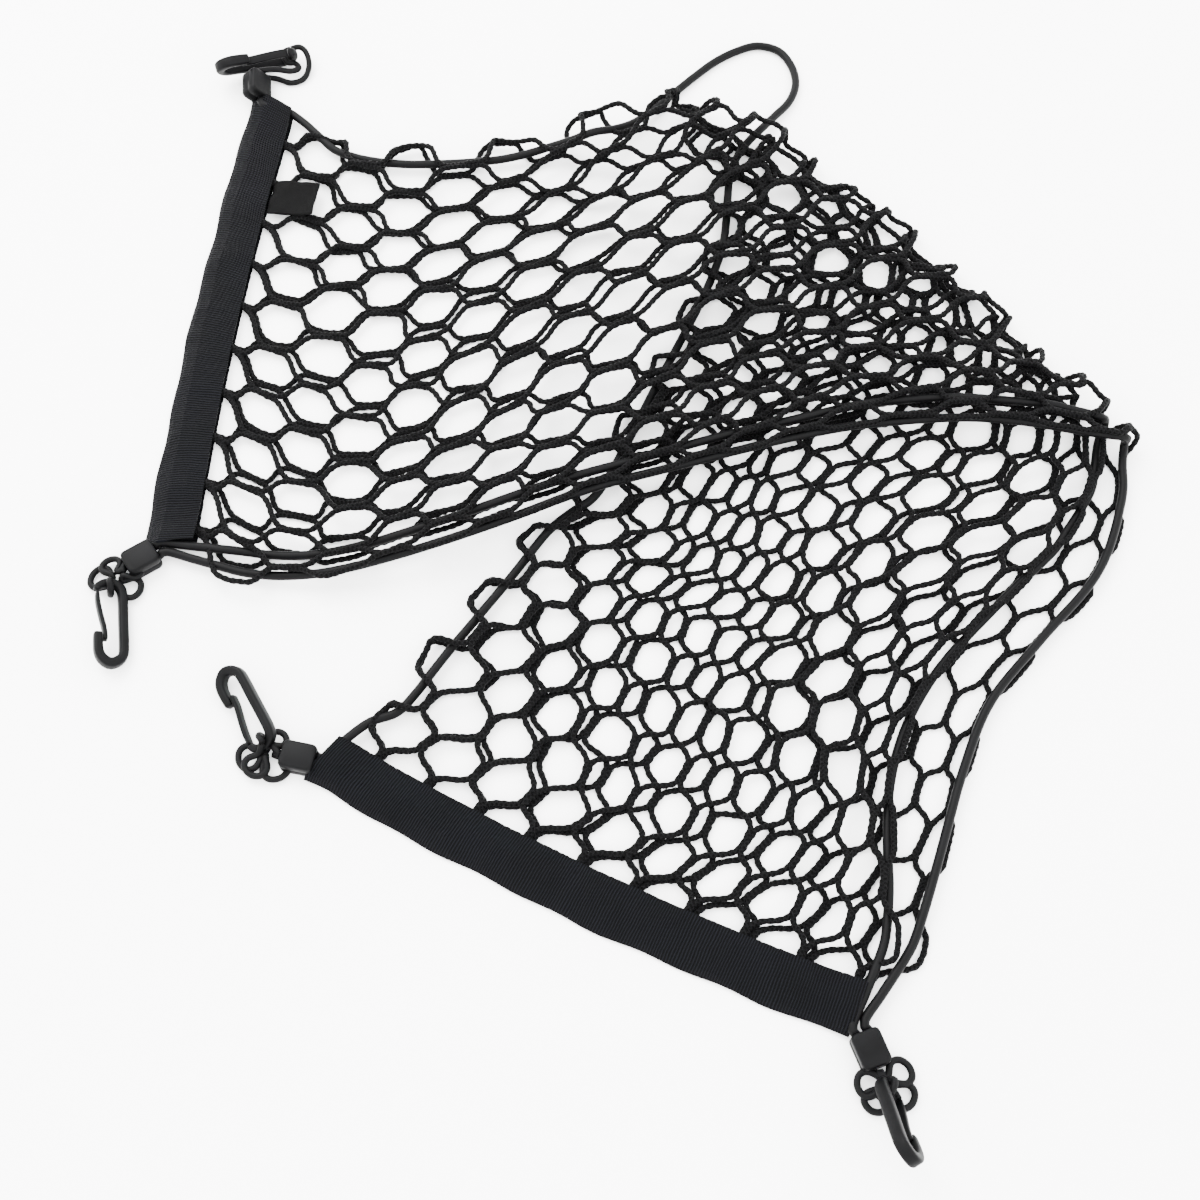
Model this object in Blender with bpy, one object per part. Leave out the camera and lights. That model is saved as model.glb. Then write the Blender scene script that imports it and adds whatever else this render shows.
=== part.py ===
"""A car boot cargo net of the envelope type, lying on a floor.

One netting sheet is folded along its length into a front and a back panel. A webbing
band binds each end, elastic cords run along the edges, and each corner carries an end
block, a knotted cord loop and a plastic snap hook with a spring gate. The net lies
folded over itself once: the first arm runs from the left band to a diagonal fold, and
the second arm comes back under it to the band in front.

Tables and sizes are in millimetres, +X right, +Y away, +Z up from the floor. placed()
moves the object's middle to the origin and turns millimetres into metres.
"""

import math

import bmesh
import bpy
from mathutils import Matrix, Vector

MM = 0.001
# The middle of the whole object in the tables, which becomes the origin.
MIDDLE = (-4.57, -5.03)

# The netting, laid open: length between the bands, and width of one panel.
NET_LENGTH = 860.0
PANEL_WIDTH = 300.0
EDGE_REACH = 9.0
CELLS_ACROSS = 5
CELL_ROWS = 16
HEADER_DEPTH = 10.0
SHEET = 2.4
SHEET_IN_BAND = 1.6
LEG_WIDTH = 3.4
JOINT_WIDTH = 5.0

# The edge cords, and the room that the panels leave them.
ELASTIC = 4.8
CLEAR = 0.3
FLOOR_LIFT = 0.05
PANEL_GAP = 3.2
CORD_GAP = ELASTIC + SHEET + 4 * CLEAR + 0.2
BASE = SHEET / 2 + FLOOR_LIFT
# Distance from an edge over which the panels stay apart for the cord, then close up.
CLOSED_ROOM = 14.0
CLOSED_ROOM_AT_FOLD = 54.0
OPEN_ROOM = 32.0
CLOSING = 35.0
# How far into the second arm the first arm climbs, drops once it is past the second
# arm's cord, and drops away from the corner where the open-edge cords turn.
CLIMB = (-112.0, -22.0)
PAST_CORD = (20.0, 110.0)
PAST_CORNER = (40.0, 130.0)

# The webbing bands.
BAND_WIDTH = 27.0
PLY = 1.1
BAND_SETTLE = (2.0, 24.0)
BAND_LOW = PLY + CLEAR + SHEET_IN_BAND / 2
BAND_GAP = SHEET_IN_BAND + 0.4
BAND_INSIDE = 2 * CLEAR + 2 * SHEET_IN_BAND + 0.4

# The end blocks, loops and hooks.
BLOCK = (16.0, 12.0, 11.0)
LOOP_CORD = 3.0
GATE_WIDE = 5.0

# The closed edge in plan: first arm from the left band to the fold, second arm onwards.
CLOSED_FIRST = ((-206, 262), (-181, 244), (-141, 233), (-87, 235), (-52, 242),
                (-18, 251), (4, 262), (24, 272))
CLOSED_SECOND = ((24, 272), (43, 248), (52, 224), (54, 200), (50, 171), (38, 137), (13, 83),
                 (-20, 14), (-44, -7), (-70, -43), (-101, -85), (-117, -108), (-143, -132))
# The open edge in plan, where each panel's own cord runs.
FRONT_FIRST = ((-235, -16), (-213, -34), (-173, -38), (-136, -32), (-98, -21), (-64, -8),
               (-41, 2), (-17, 11), (11, 19), (49, 31), (88, 43), (125, 51), (167, 53),
               (197, 51), (228, 46), (262, 38))
FRONT_SECOND = ((262, 38), (261, 12), (243, -34), (208, -74), (179, -108), (162, -144),
                (149, -181), (137, -215), (127, -238), (112, -254))
BACK_FIRST = ((-235, -14), (-209, -23), (-184, -26), (-163, -25), (-137, -20), (-89, -5),
              (-42, 13), (0, 26), (49, 42), (89, 54), (126, 64), (167, 66), (198, 63),
              (229, 59), (252, 50))
BACK_SECOND = ((252, 50), (245, 15), (237, 2), (220, -23), (203, -39), (181, -61), (155, -89),
               (136, -119), (125, -150), (121, -181), (120, -209), (115, -235), (108, -252))
FOLD_BULGE = 29.0
FOLD_OUTWARD = Vector((0.706, 0.708))

# Material length from the left band to the fold, at the closed and at the open edge.
FOLD_AT_CLOSED = 245.0
FOLD_AT_FRONT = 502.0
FOLD_AT_BACK = 492.0

# Direction from each band into the netting.
INTO_LEFT = Vector((0.995, -0.101))
INTO_FRONT = Vector((0.464, 0.886))
BOW_LEFT = 4.0
BOW_FRONT = 6.0

# Corner sets: the block's middle, heading, height and roll, then the hook's root,
# heading, pitch and roll, and how far the knot's lobes stand out. The first corner's
# loop is pulled out long and has its own table.
CORNERS = (
    dict(block=(-227, 289), aim=95, high=7.5, tilt=50, root=(-206.4, 313.9), heading=201.6,
         pitch=10.3, roll=66, lobe=None),
    dict(block=(-262, -28), aim=213, high=5.5, tilt=0, root=(-277, -42), heading=278, pitch=0,
         roll=156, lobe=9.5),
    dict(block=(-171, -139), aim=168, high=5.5, tilt=0, root=(-188, -133), heading=120, pitch=0,
         roll=-24, lobe=9.5),
    dict(block=(106, -283), aim=291, high=5.5, tilt=0, root=(112.5, -298.8), heading=277, pitch=38,
         roll=-55, lobe=9.0),
)


def clamp(value):
    return min(1.0, max(0.0, value))


def smooth(start, end, value):
    share = clamp((value - start) / (end - start))
    return share * share * (3 - 2 * share)


def lerp(first, second, share):
    return first + (second - first) * share


def heading(degrees):
    return Vector((math.cos(math.radians(degrees)), math.sin(math.radians(degrees))))


class Course:
    """A smooth curve through points, read by its share of the length."""

    STEPS = 12

    def __init__(self, points, closed=False):
        knots = [Vector(point) for point in points]
        if closed:
            knots = [knots[-1], *knots, *knots[:2]]
        else:
            knots = [2 * knots[0] - knots[1], *knots, 2 * knots[-1] - knots[-2]]
        self.points = [knots[1]]
        for a, b, c, d in zip(knots, knots[1:], knots[2:], knots[3:]):
            for step in range(1, self.STEPS + 1):
                t = step / self.STEPS
                self.points.append(0.5 * (2 * b + (c - a) * t + (2 * a - 5 * b + 4 * c - d) * t * t
                                          + (3 * b - a - 3 * c + d) * t ** 3))
        self.lengths = [0.0]
        for a, b in zip(self.points, self.points[1:]):
            self.lengths.append(self.lengths[-1] + (b - a).length)
        self.length = self.lengths[-1]

    def at(self, share):
        target = clamp(share) * self.length
        index = 1
        while self.lengths[index] < target and index < len(self.points) - 1:
            index += 1
        start, end = self.lengths[index - 1], self.lengths[index]
        return self.points[index - 1].lerp(self.points[index], (target - start) / (end - start))

    def heading(self, share):
        return (self.at(share + 0.01) - self.at(share - 0.01)).normalized()


CLOSED = (Course(CLOSED_FIRST), Course(CLOSED_SECOND))
FRONT = (Course(FRONT_FIRST), Course(FRONT_SECOND))
BACK = (Course(BACK_FIRST), Course(BACK_SECOND))


# ---------------------------------------------------------------- the netting's surface

def band_distance(along):
    return min(along, NET_LENGTH - along)


def panel_gap(along, across):
    """Distance between the two panels' middles at a place on the laid-open net."""
    near_fold = smooth(215, 250, along) * (1 - smooth(345, 385, along))
    full = lerp(CLOSED_ROOM, CLOSED_ROOM_AT_FOLD, near_fold)
    at_closed = 1 - smooth(full, full + CLOSING, across)
    at_open = smooth(PANEL_WIDTH - OPEN_ROOM - CLOSING, PANEL_WIDTH - OPEN_ROOM, across)
    free = lerp(PANEL_GAP, CORD_GAP, max(at_closed, at_open))
    return lerp(BAND_GAP, free, smooth(*BAND_SETTLE, band_distance(along)))


def base_height(along):
    return lerp(BAND_LOW, BASE, smooth(*BAND_SETTLE, band_distance(along)))


def distance_to_second(plan):
    """How far a place lies inside the second arm's closed edge, negative outside it."""
    best = None
    points = CLOSED[1].points
    for a, b in zip(points[::4], points[4::4]):
        edge = b - a
        share = clamp((plan - a).dot(edge) / edge.length_squared)
        away = plan - (a + edge * share)
        if best is None or away.length < abs(best):
            side = edge.x * away.y - edge.y * away.x
            best = away.length if side > 0 else -away.length
    return best


def lift(plan):
    """How far the first arm is raised where it lies over the second."""
    inside = distance_to_second(plan)
    corner = (plan - Vector(BACK_SECOND[0])).length
    over_cord = 1 - min(smooth(*PAST_CORD, inside), smooth(*PAST_CORNER, corner))
    return smooth(*CLIMB, inside) * (PANEL_GAP + lerp(PANEL_GAP, CORD_GAP, over_cord))


def fold_bulge(share):
    return FOLD_OUTWARD * FOLD_BULGE * math.sin(math.pi * clamp(share) ** 0.8)


def surface(along, across):
    """Where a place on the laid-open net lies. across is 0 on the closed edge, positive on
    the front panel and negative on the back panel."""
    side = 1 if across >= 0 else -1
    distance = abs(across)
    gap = panel_gap(along, distance)
    wrap = gap / 2
    turn = wrap * math.pi / 2
    angle = min(distance / wrap, math.pi / 2)
    share = max(0.0, distance - turn) / (PANEL_WIDTH - turn)
    outside = wrap * math.cos(angle)
    tilt = side * wrap * math.sin(angle)
    open_edge = FRONT if side > 0 else BACK
    fold_open = FOLD_AT_FRONT if side > 0 else FOLD_AT_BACK
    fold_at = lerp(FOLD_AT_CLOSED, fold_open, share)

    fold_gap = panel_gap(fold_at, distance)
    fold_lift = fold_gap + PANEL_GAP
    radius = fold_lift / 2 + side * fold_gap / 2 * math.sin(angle)
    half_turn = radius * math.pi / 2
    first = along <= fold_at
    if first:
        part = clamp(along / (fold_at - half_turn))
        beyond = min(0.0, along) * INTO_LEFT
        bow = -BOW_LEFT * INTO_LEFT * (1 - part) ** 2
        bulge = fold_bulge(share) * part ** 2
    else:
        part = clamp((along - fold_at - half_turn) / (NET_LENGTH - fold_at - half_turn))
        beyond = -max(0.0, along - NET_LENGTH) * INTO_FRONT
        bow = -BOW_FRONT * INTO_FRONT * part ** 2
        bulge = fold_bulge(share) * (1 - part) ** 2
    arm = 0 if first else 1
    closed_point = CLOSED[arm].at(part)
    open_point = open_edge[arm].at(part)
    middle = 4 * clamp(share) * (1 - clamp(share))
    plan = closed_point.lerp(open_point, share) + beyond + bow * middle + bulge
    edge = CLOSED[arm].heading(part)
    plan += (Vector((-edge.y, edge.x)) if first else Vector((edge.y, -edge.x))) * outside

    height = base_height(along) + gap / 2
    if first:
        raised = lerp(lift(plan), fold_lift, smooth(0.75, 1.0, part))
        height += raised + tilt
    else:
        height -= tilt
    offset = abs(along - fold_at)
    if offset < half_turn:
        around = offset / half_turn * math.pi / 2
        center = BASE + (fold_lift + fold_gap) / 2
        plan += FOLD_OUTWARD * radius * math.cos(around)
        height = center + (1 if first else -1) * radius * math.sin(around)
    return Vector((plan.x, plan.y, height))


def surface_normal(along, across):
    step = 0.4
    run = surface(along + step, across) - surface(along - step, across)
    rise = surface(along, across + step) - surface(along, across - step)
    return run.cross(rise).normalized()


# ---------------------------------------------------------------- scene helpers

def clear_scene():
    for obj in list(bpy.data.objects):
        bpy.data.objects.remove(obj, do_unlink=True)


def material(name, color, roughness, metallic=0.0):
    made = bpy.data.materials.new(name)
    made.use_nodes = True
    shader = made.node_tree.nodes["Principled BSDF"]
    shader.inputs["Base Color"].default_value = (*color, 1)
    shader.inputs["Roughness"].default_value = roughness
    shader.inputs["Metallic"].default_value = metallic
    return made


def placed(point):
    """A place in the tables' millimetres as metres about the object's middle."""
    return Vector((point[0] - MIDDLE[0], point[1] - MIDDLE[1], point[2])) * MM


def add_object(name, data, finish):
    obj = bpy.data.objects.new(name, data)
    data.materials.append(finish)
    bpy.context.scene.collection.objects.link(obj)
    return obj


def add_solid(name, points, faces, finish, sharp=40):
    """A mesh object from points in millimetres."""
    mesh = bpy.data.meshes.new(name)
    mesh.from_pydata([placed(point) for point in points], [], faces)
    shaped = bmesh.new()
    shaped.from_mesh(mesh)
    bmesh.ops.recalc_face_normals(shaped, faces=shaped.faces)
    shaped.to_mesh(mesh)
    shaped.free()
    mesh.shade_smooth()
    mesh.set_sharp_from_angle(angle=math.radians(sharp))
    return add_object(name, mesh, finish)


def add_tube(name, points, diameter, finish, closed=False):
    """A cord as a curve with a round bevel, from points in millimetres."""
    curve = bpy.data.curves.new(name, "CURVE")
    curve.dimensions = "3D"
    curve.bevel_depth = diameter / 2 * MM
    curve.bevel_resolution = 2
    curve.use_fill_caps = not closed
    spline = curve.splines.new("POLY")
    spline.points.add(len(points) - 1)
    for spot, point in zip(spline.points, points):
        spot.co = (*placed(point), 1)
    spline.use_cyclic_u = closed
    return add_object(name, curve, finish)


def sweep(sections):
    """Points and faces of a closed solid from rings of equal size."""
    count = len(sections[0])
    points = [point for section in sections for point in section]
    faces = [tuple(reversed(range(count)))]
    for ring in range(len(sections) - 1):
        for index in range(count):
            after = (index + 1) % count
            faces.append((ring * count + index, ring * count + after,
                          (ring + 1) * count + after, (ring + 1) * count + index))
    faces.append(tuple((len(sections) - 1) * count + index for index in range(count)))
    return points, faces


# ---------------------------------------------------------------- netting

def strut_length():
    return (NET_LENGTH + 2 * HEADER_DEPTH) / (1.5 * CELL_ROWS + 1)


def netting_graph():
    """Junctions of the laid-open net and the struts between them, with their widths."""
    pitch = (PANEL_WIDTH + EDGE_REACH) / CELLS_ACROSS / 2
    edge = strut_length()
    most = 2 * CELLS_ACROSS
    struts = []
    for row in range(CELL_ROWS + 1):
        low = -HEADER_DEPTH + row * 1.5 * edge
        for column in range(-most, most + 1):
            if (row + column) % 2 == 0:
                continue
            across = column * pitch
            struts.append(((low, across), (low + edge, across), JOINT_WIDTH))
            for near in (column - 1, column + 1):
                if row < CELL_ROWS and abs(near) <= most:
                    after = (low + 1.5 * edge, near * pitch)
                    struts.append(((low + edge, across), after, LEG_WIDTH))
    for along in (-HEADER_DEPTH, NET_LENGTH + HEADER_DEPTH):
        for column in range(1 - most, most - 1, 2):
            struts.append(((along, column * pitch), (along, (column + 2) * pitch), LEG_WIDTH))
    return struts


def key(point):
    return round(point[0], 3), round(point[1], 3)


def netting_faces(struts):
    """The flat net as quads: each strut gives one on each side of its middle line, mitred
    at the junctions."""
    around = {}
    for start, end, width in struts:
        around.setdefault(key(start), []).append((end, width))
        around.setdefault(key(end), []).append((start, width))
    for spot, ends in around.items():
        ends.sort(key=lambda item: math.atan2(item[0][1] - spot[1], item[0][0] - spot[0]))

    def corner(spot, index):
        """The mitre between strut index and the next one, counter-clockwise."""
        ends = around[spot]
        (first, width_a), (second, width_b) = ends[index], ends[(index + 1) % len(ends)]
        here = Vector(spot)
        a, b = (Vector(first) - here).normalized(), (Vector(second) - here).normalized()
        side_a = Vector((-a.y, a.x)) * width_a / 2
        side_b = Vector((b.y, -b.x)) * width_b / 2
        cross = a.x * b.y - a.y * b.x
        if abs(cross) < 0.05:
            return here + (side_a + side_b) / 2
        gap = side_b - side_a
        return here + side_a + a * ((gap.x * b.y - gap.y * b.x) / cross)

    quads = []
    for start, end, _width in struts:
        for near, far in ((key(start), key(end)), (key(end), key(start))):
            at_near = [key(item[0]) for item in around[near]].index(far)
            at_far = [key(item[0]) for item in around[far]].index(near)
            left_near = corner(near, at_near)
            left_far = corner(far, at_far - 1)
            quads.append((Vector(near), Vector(far), left_far, left_near))
    return quads


EDGE_ZONE = 40.0
WRAP_CUTS = (3.1, 6.3)


def on_an_edge(across):
    return abs(across) < 4 or abs(across) > PANEL_WIDTH - EDGE_ZONE


def near_fold(face):
    along, across = face.calc_center_median().xy
    (start, _side), (end, _open) = fold_line(1 if across > 0 else -1)
    return abs(along - lerp(start, end, abs(across) / PANEL_WIDTH)) < 30


def fold_line(side):
    """Two places of the laid-open net on the fold line of one panel."""
    open_at = FOLD_AT_FRONT if side > 0 else FOLD_AT_BACK
    return (FOLD_AT_CLOSED, side * 8), (open_at, side * PANEL_WIDTH)


FOLD_CUTS = (
    # panel, least distance from the closed edge, distance to each side of the fold line
    (1, 0, 3), (1, 0, 7.5), (1, PANEL_WIDTH - EDGE_ZONE, 11), (1, PANEL_WIDTH - EDGE_ZONE, 16),
    (-1, 0, 0), (-1, 0, 2.5),
)


def build_netting(finish):
    flat = bmesh.new()
    for quad in netting_faces(netting_graph()):
        flat.faces.new([flat.verts.new((point.x, point.y, 0)) for point in quad])
    bmesh.ops.remove_doubles(flat, verts=flat.verts, dist=0.01)

    def cut(place, normal, faces):
        edges = {edge for face in faces for edge in face.edges}
        verts = {vert for face in faces for vert in face.verts}
        geometry = [*faces, *edges, *verts]
        bmesh.ops.bisect_plane(flat, geom=geometry, plane_co=place, plane_no=normal, dist=0.01)

    for across in WRAP_CUTS:
        cut((0, across, 0), (0, 1, 0), list(flat.faces))
        cut((0, -across, 0), (0, 1, 0), list(flat.faces))
    for along in (3, NET_LENGTH - 3):
        cut((along, 0, 0), (1, 0, 0), list(flat.faces))
    for row in range(2 * CELL_ROWS + 1):
        along = -HEADER_DEPTH + (row * 1.5 + 1) * strut_length() / 2
        near = [face for face in flat.faces
                if on_an_edge(face.calc_center_median().y) and not near_fold(face)]
        cut((along, 0, 0), (1, 0, 0), near)
    for side, inmost, shift in FOLD_CUTS:
        start, end = fold_line(side)
        direction = Vector((end[0] - start[0], end[1] - start[1], 0))
        normal = Vector((direction.y, -direction.x, 0)).normalized()
        for place in {start[0] - shift, start[0] + shift}:
            near = [face for face in flat.faces if side * face.calc_center_median().y > inmost]
            cut((place, start[1], 0), normal, near)
    bmesh.ops.triangulate(flat, faces=flat.faces)

    solid = bmesh.new()
    upper, lower = {}, {}
    for vert in flat.verts:
        along, across = vert.co.x, vert.co.y
        place, normal = surface(along, across), surface_normal(along, across)
        thick = lerp(SHEET_IN_BAND, SHEET, smooth(0, 15, band_distance(along)))
        upper[vert] = solid.verts.new(placed(place + normal * thick / 2))
        lower[vert] = solid.verts.new(placed(place - normal * thick / 2))
    for face in flat.faces:
        solid.faces.new([upper[vert] for vert in face.verts])
        solid.faces.new([lower[vert] for vert in reversed(face.verts)])
    for edge in flat.edges:
        if len(edge.link_faces) == 1:
            loop = edge.link_loops[0]
            start, end = loop.vert, loop.link_loop_next.vert
            solid.faces.new((upper[end], upper[start], lower[start], lower[end]))
    flat.free()
    bmesh.ops.recalc_face_normals(solid, faces=solid.faces)
    mesh = bpy.data.meshes.new("net")
    solid.to_mesh(mesh)
    solid.free()
    mesh.shade_smooth()
    mesh.set_sharp_from_angle(angle=math.radians(40))
    add_object("net", mesh, finish)


# ---------------------------------------------------------------- bands

BAND_TOP = 2 * PLY + BAND_INSIDE
BAND_PROFILE = (
    # across from the open edge towards the fold, height, share of the wave
    (0, 0, 0), (0, PLY, 0), (-21, PLY, 0), (-24, PLY + 0.1, 0), (-18, BAND_TOP - PLY, 1),
    (0, BAND_TOP - PLY, 0), (0, BAND_TOP, 0), (-18, BAND_TOP, 1), (-25, 2.6, 1),
    (-BAND_WIDTH, 1.8, 0), (-BAND_WIDTH, 0.6, 0), (1 - BAND_WIDTH, 0, 0),
)
BAND_STEPS = 22
BAND_RIPPLES = (
    # height, turn per step, turn at the start
    (0.5, 1.9, 0.0), (0.4, 0.83, 1.0),
)
BAND_WAVE = (0.35, 2.3, 0.5)


def build_band(name, along, into, first, last, finish):
    """A folded strip of webbing round one end of the net, between two shares of the
    panel's width."""
    arm = 0 if along < NET_LENGTH / 2 else 1
    bow = (BOW_LEFT, BOW_FRONT)[arm]
    start, end = CLOSED[arm].at(arm), BACK[arm].at(arm)
    wave_height, wave_turn, wave_start = BAND_WAVE
    sections = []
    for step in range(BAND_STEPS + 1):
        share = lerp(first, last, step / BAND_STEPS)
        middle = 4 * clamp(share) * (1 - clamp(share))
        plan = start.lerp(end, share) - into * bow * middle
        ripple = sum(high * math.sin(step * turn + begin) for high, turn, begin in BAND_RIPPLES)
        wave = wave_height * (1 + math.sin(step * wave_turn + wave_start))
        section = []
        for x, z, waving in BAND_PROFILE:
            spot = plan + into * (x - ripple * x / BAND_WIDTH)
            section.append((spot.x, spot.y, z + wave * waving))
        sections.append(section)
    points, faces = sweep(sections)
    add_solid(name, points, faces, finish)


# ---------------------------------------------------------------- edge cords

def cord_height(plan, part, level):
    """Height of an edge cord's middle: level 1 in the first arm, 0 in the second."""
    raised = lerp(lift(plan), CORD_GAP + PANEL_GAP, smooth(0.75, 1.0, part))
    return BASE + CORD_GAP / 2 + level * raised


def resample(points, count):
    course = Course(points)
    return [course.at(step / (count - 1)) for step in range(count)]


def threaded(course, start, end, level, step=13.0):
    """Points of a cord that runs between the panels along one edge."""
    count = max(2, round((end - start) * course.length / step))
    spots = [course.at(lerp(start, end, index / count)) for index in range(count + 1)]
    parts = [lerp(start, end, index / count) for index in range(count + 1)]
    return [(spot.x, spot.y, cord_height(spot, part, level)) for spot, part in zip(spots, parts)]


def block_face(corner, side, forward):
    """A place on the block's rear face, side mm to the left of its middle."""
    aim = heading(corner["aim"])
    left = Vector((-aim.y, aim.x))
    return Vector(corner["block"]) + aim * forward + left * side


REAR = -BLOCK[0] / 2 - CLEAR

CLOSED_LOOP = (
    # x, y, z of the slack loop beyond the fold
    (-5, 258, 8.6), (7, 269, 6.0), (20, 283, 3.6), (37, 301, 2.7), (54, 316, 2.5),
    (72, 325, 2.5), (85, 325, 2.5), (95, 315, 2.5), (99, 299, 2.5), (96, 285, 2.7),
    (86, 271, 4.2), (75, 257, 6.2), (64, 243, 6.0), (57, 226, 5.6),
)


def with_ends(start_corner, start_side, middle, end_corner, end_side, count):
    """A cord's points, with a straight end into each of two blocks."""
    made = []
    for corner, side in ((start_corner, start_side), (end_corner, end_side)):
        aim = heading(corner["aim"])
        face = block_face(corner, side, REAR)
        made.append([(face.x - aim.x * back, face.y - aim.y * back, corner["high"])
                     for back in (0, 5)])
    first, last = made[0], made[1][::-1]
    route = resample([first[1], *middle, last[0]], count - 2)
    return [first[0], *route, last[1]]


def closed_cord_points():
    return with_ends(CORNERS[0], -3.0, [
        (-204, 270, 5.3),
        *threaded(CLOSED[0], 0.15, 0.79, 1),
        *CLOSED_LOOP,
        *threaded(CLOSED[1], 0.17, 0.95, 0),
        (-137, -120, 5.5), (-149, -130, 5.5),
    ], CORNERS[2], -3.0, 66)


def corner_turn(share):
    """Round the diagonal fold between the panels, share of the way to the front panel's edge."""
    made = []
    for step in range(1, 8):
        turn = lerp(-1, 1, step / 8) * math.pi / 2
        front = surface(FOLD_AT_FRONT + turn * (CORD_GAP + PANEL_GAP / 2), PANEL_WIDTH)
        back = surface(FOLD_AT_BACK + turn * PANEL_GAP / 2, -PANEL_WIDTH)
        inward = FOLD_OUTWARD * CORD_GAP / 2 * math.cos(turn)
        spot = (back.xy + inward).lerp(front.xy - inward, share)
        made.append((spot.x, spot.y, (front.z + back.z) / 2))
    return made


def open_cord_points(courses, share, side):
    first, second = courses
    return with_ends(CORNERS[1], side, [
        *threaded(first, 0.06, 0.95, 1),
        *corner_turn(share),
        *threaded(second, 0.06, 0.95, 0),
    ], CORNERS[3], side, 66)


def build_cords(finish):
    add_tube("edge_cord_closed", closed_cord_points(), ELASTIC, finish)
    add_tube("edge_cord_outer", open_cord_points(FRONT, 1.0, 3.1), ELASTIC, finish)
    add_tube("edge_cord_inner", open_cord_points(BACK, 0.0, -3.1), ELASTIC, finish)


# ---------------------------------------------------------------- corners

def build_block(number, corner, finish):
    length, width, height = BLOCK
    mesh = bpy.data.meshes.new(f"end_block_{number}")
    shaped = bmesh.new()
    bmesh.ops.create_cube(shaped, size=1)
    bmesh.ops.scale(shaped, verts=shaped.verts, vec=Vector((length, width, height)) * MM)
    bmesh.ops.bevel(shaped, geom=list(shaped.edges), offset=1.8 * MM, segments=2,
                    profile=0.5, affect="EDGES")
    shaped.to_mesh(mesh)
    shaped.free()
    mesh.shade_smooth()
    mesh.set_sharp_from_angle(angle=math.radians(40))
    obj = add_object(f"end_block_{number}", mesh, finish)
    obj.location = placed((*corner["block"], corner["high"]))
    obj.rotation_euler = (math.radians(corner["tilt"]), 0, math.radians(corner["aim"]))


HOOK_PATH = (
    # along the hook, across it, bar width, bar thickness
    (29, 6.6, 4.2, 5.6), (34, 6.6, 4.6, 6.2), (40, 6.3, 4.8, 6.4), (44, 4.4, 5.0, 6.4),
    (46.3, 0.8, 5.2, 6.4), (45.2, -3.0, 5.2, 6.4), (42, -5.8, 5.0, 6.4), (37, -6.5, 4.8, 6.4),
    (23, -6.5, 4.8, 6.4), (9, -6.5, 4.8, 6.2), (3.6, -5.6, 4.8, 5.6), (1.0, -3.0, 4.8, 5.0),
    (0.4, 0.0, 4.6, 4.6), (1.0, 3.4, 4.4, 4.6), (2.8, 6.2, 3.8, 4.8), (5.0, 6.6, 3.2, 4.8),
)
GATE_PATH = (
    # along the hook, across it, thickness; it starts on the hinge axis, at its thin root
    (5.35, 6.6, 1.0), (7.5, 6.52, 1.8), (12, 6.2, 2.2), (19, 5.0, 2.2), (27, 3.3, 2.2),
    (33.5, 2.8, 2.2),
)
LOOP_STEPS = 28
LOOP_AT_BAR = (
    # x, y, z in the hook's frame: over the bar, through the window and back under it
    (1.0, -1.4, 4.7), (4.9, -1.0, 3.6), (6.3, -0.4, 0.0), (5.1, 0.3, -3.9), (1.2, 0.9, -5.1),
)
LONG_LOOP = (
    # x, y, z of the first corner's loop, from below the hook's bar by the block and back
    (-203.2, 304.8, 6.5), (-208.0, 301.6, 7.5), (-217.0, 301.2, 9.5), (-226.0, 299.6, 10.0),
    (-229.5, 299.5, 7.5), (-226.0, 299.6, 4.5), (-217.0, 300.2, 2.6), (-208.0, 297.6, 1.8),
    (-200.5, 300.5, 2.2), (-197.5, 308.0, 4.5), (-199.2, 316.0, 7.2), (-203.5, 319.8, 8.3),
)


def bar_section(width, thick):
    """A rectangle with its corners cut, across a moulded bar."""
    cut = 0.24 * min(width, thick)
    w, t = width / 2, thick / 2
    return ((w, -t + cut), (w, t - cut), (w - cut, t), (-w + cut, t),
            (-w, t - cut), (-w, -t + cut), (-w + cut, -t), (w - cut, -t))


def path_solid(path):
    """A moulded bar along a flat path of (x, y, width, thickness)."""
    sections = []
    for index, (x, y, width, thick) in enumerate(path):
        before, after = path[max(0, index - 1)], path[min(len(path) - 1, index + 1)]
        run = Vector((after[0] - before[0], after[1] - before[1])).normalized()
        side = Vector((-run.y, run.x))
        sections.append([(x + side.x * across, y + side.y * across, up)
                         for across, up in bar_section(width, thick)])
    return sweep(sections)


def hook_frame(corner):
    """The hook's own frame in the world, before it is set down on the floor."""
    x, y = corner["root"]
    turn = Matrix.Rotation(math.radians(corner["heading"]), 4, "Z")
    pitch = Matrix.Rotation(math.radians(-corner["pitch"]), 4, "Y")
    roll = Matrix.Rotation(math.radians(corner["roll"]), 4, "X")
    return Matrix.Translation((x, y, 0)) @ turn @ pitch @ roll


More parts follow.
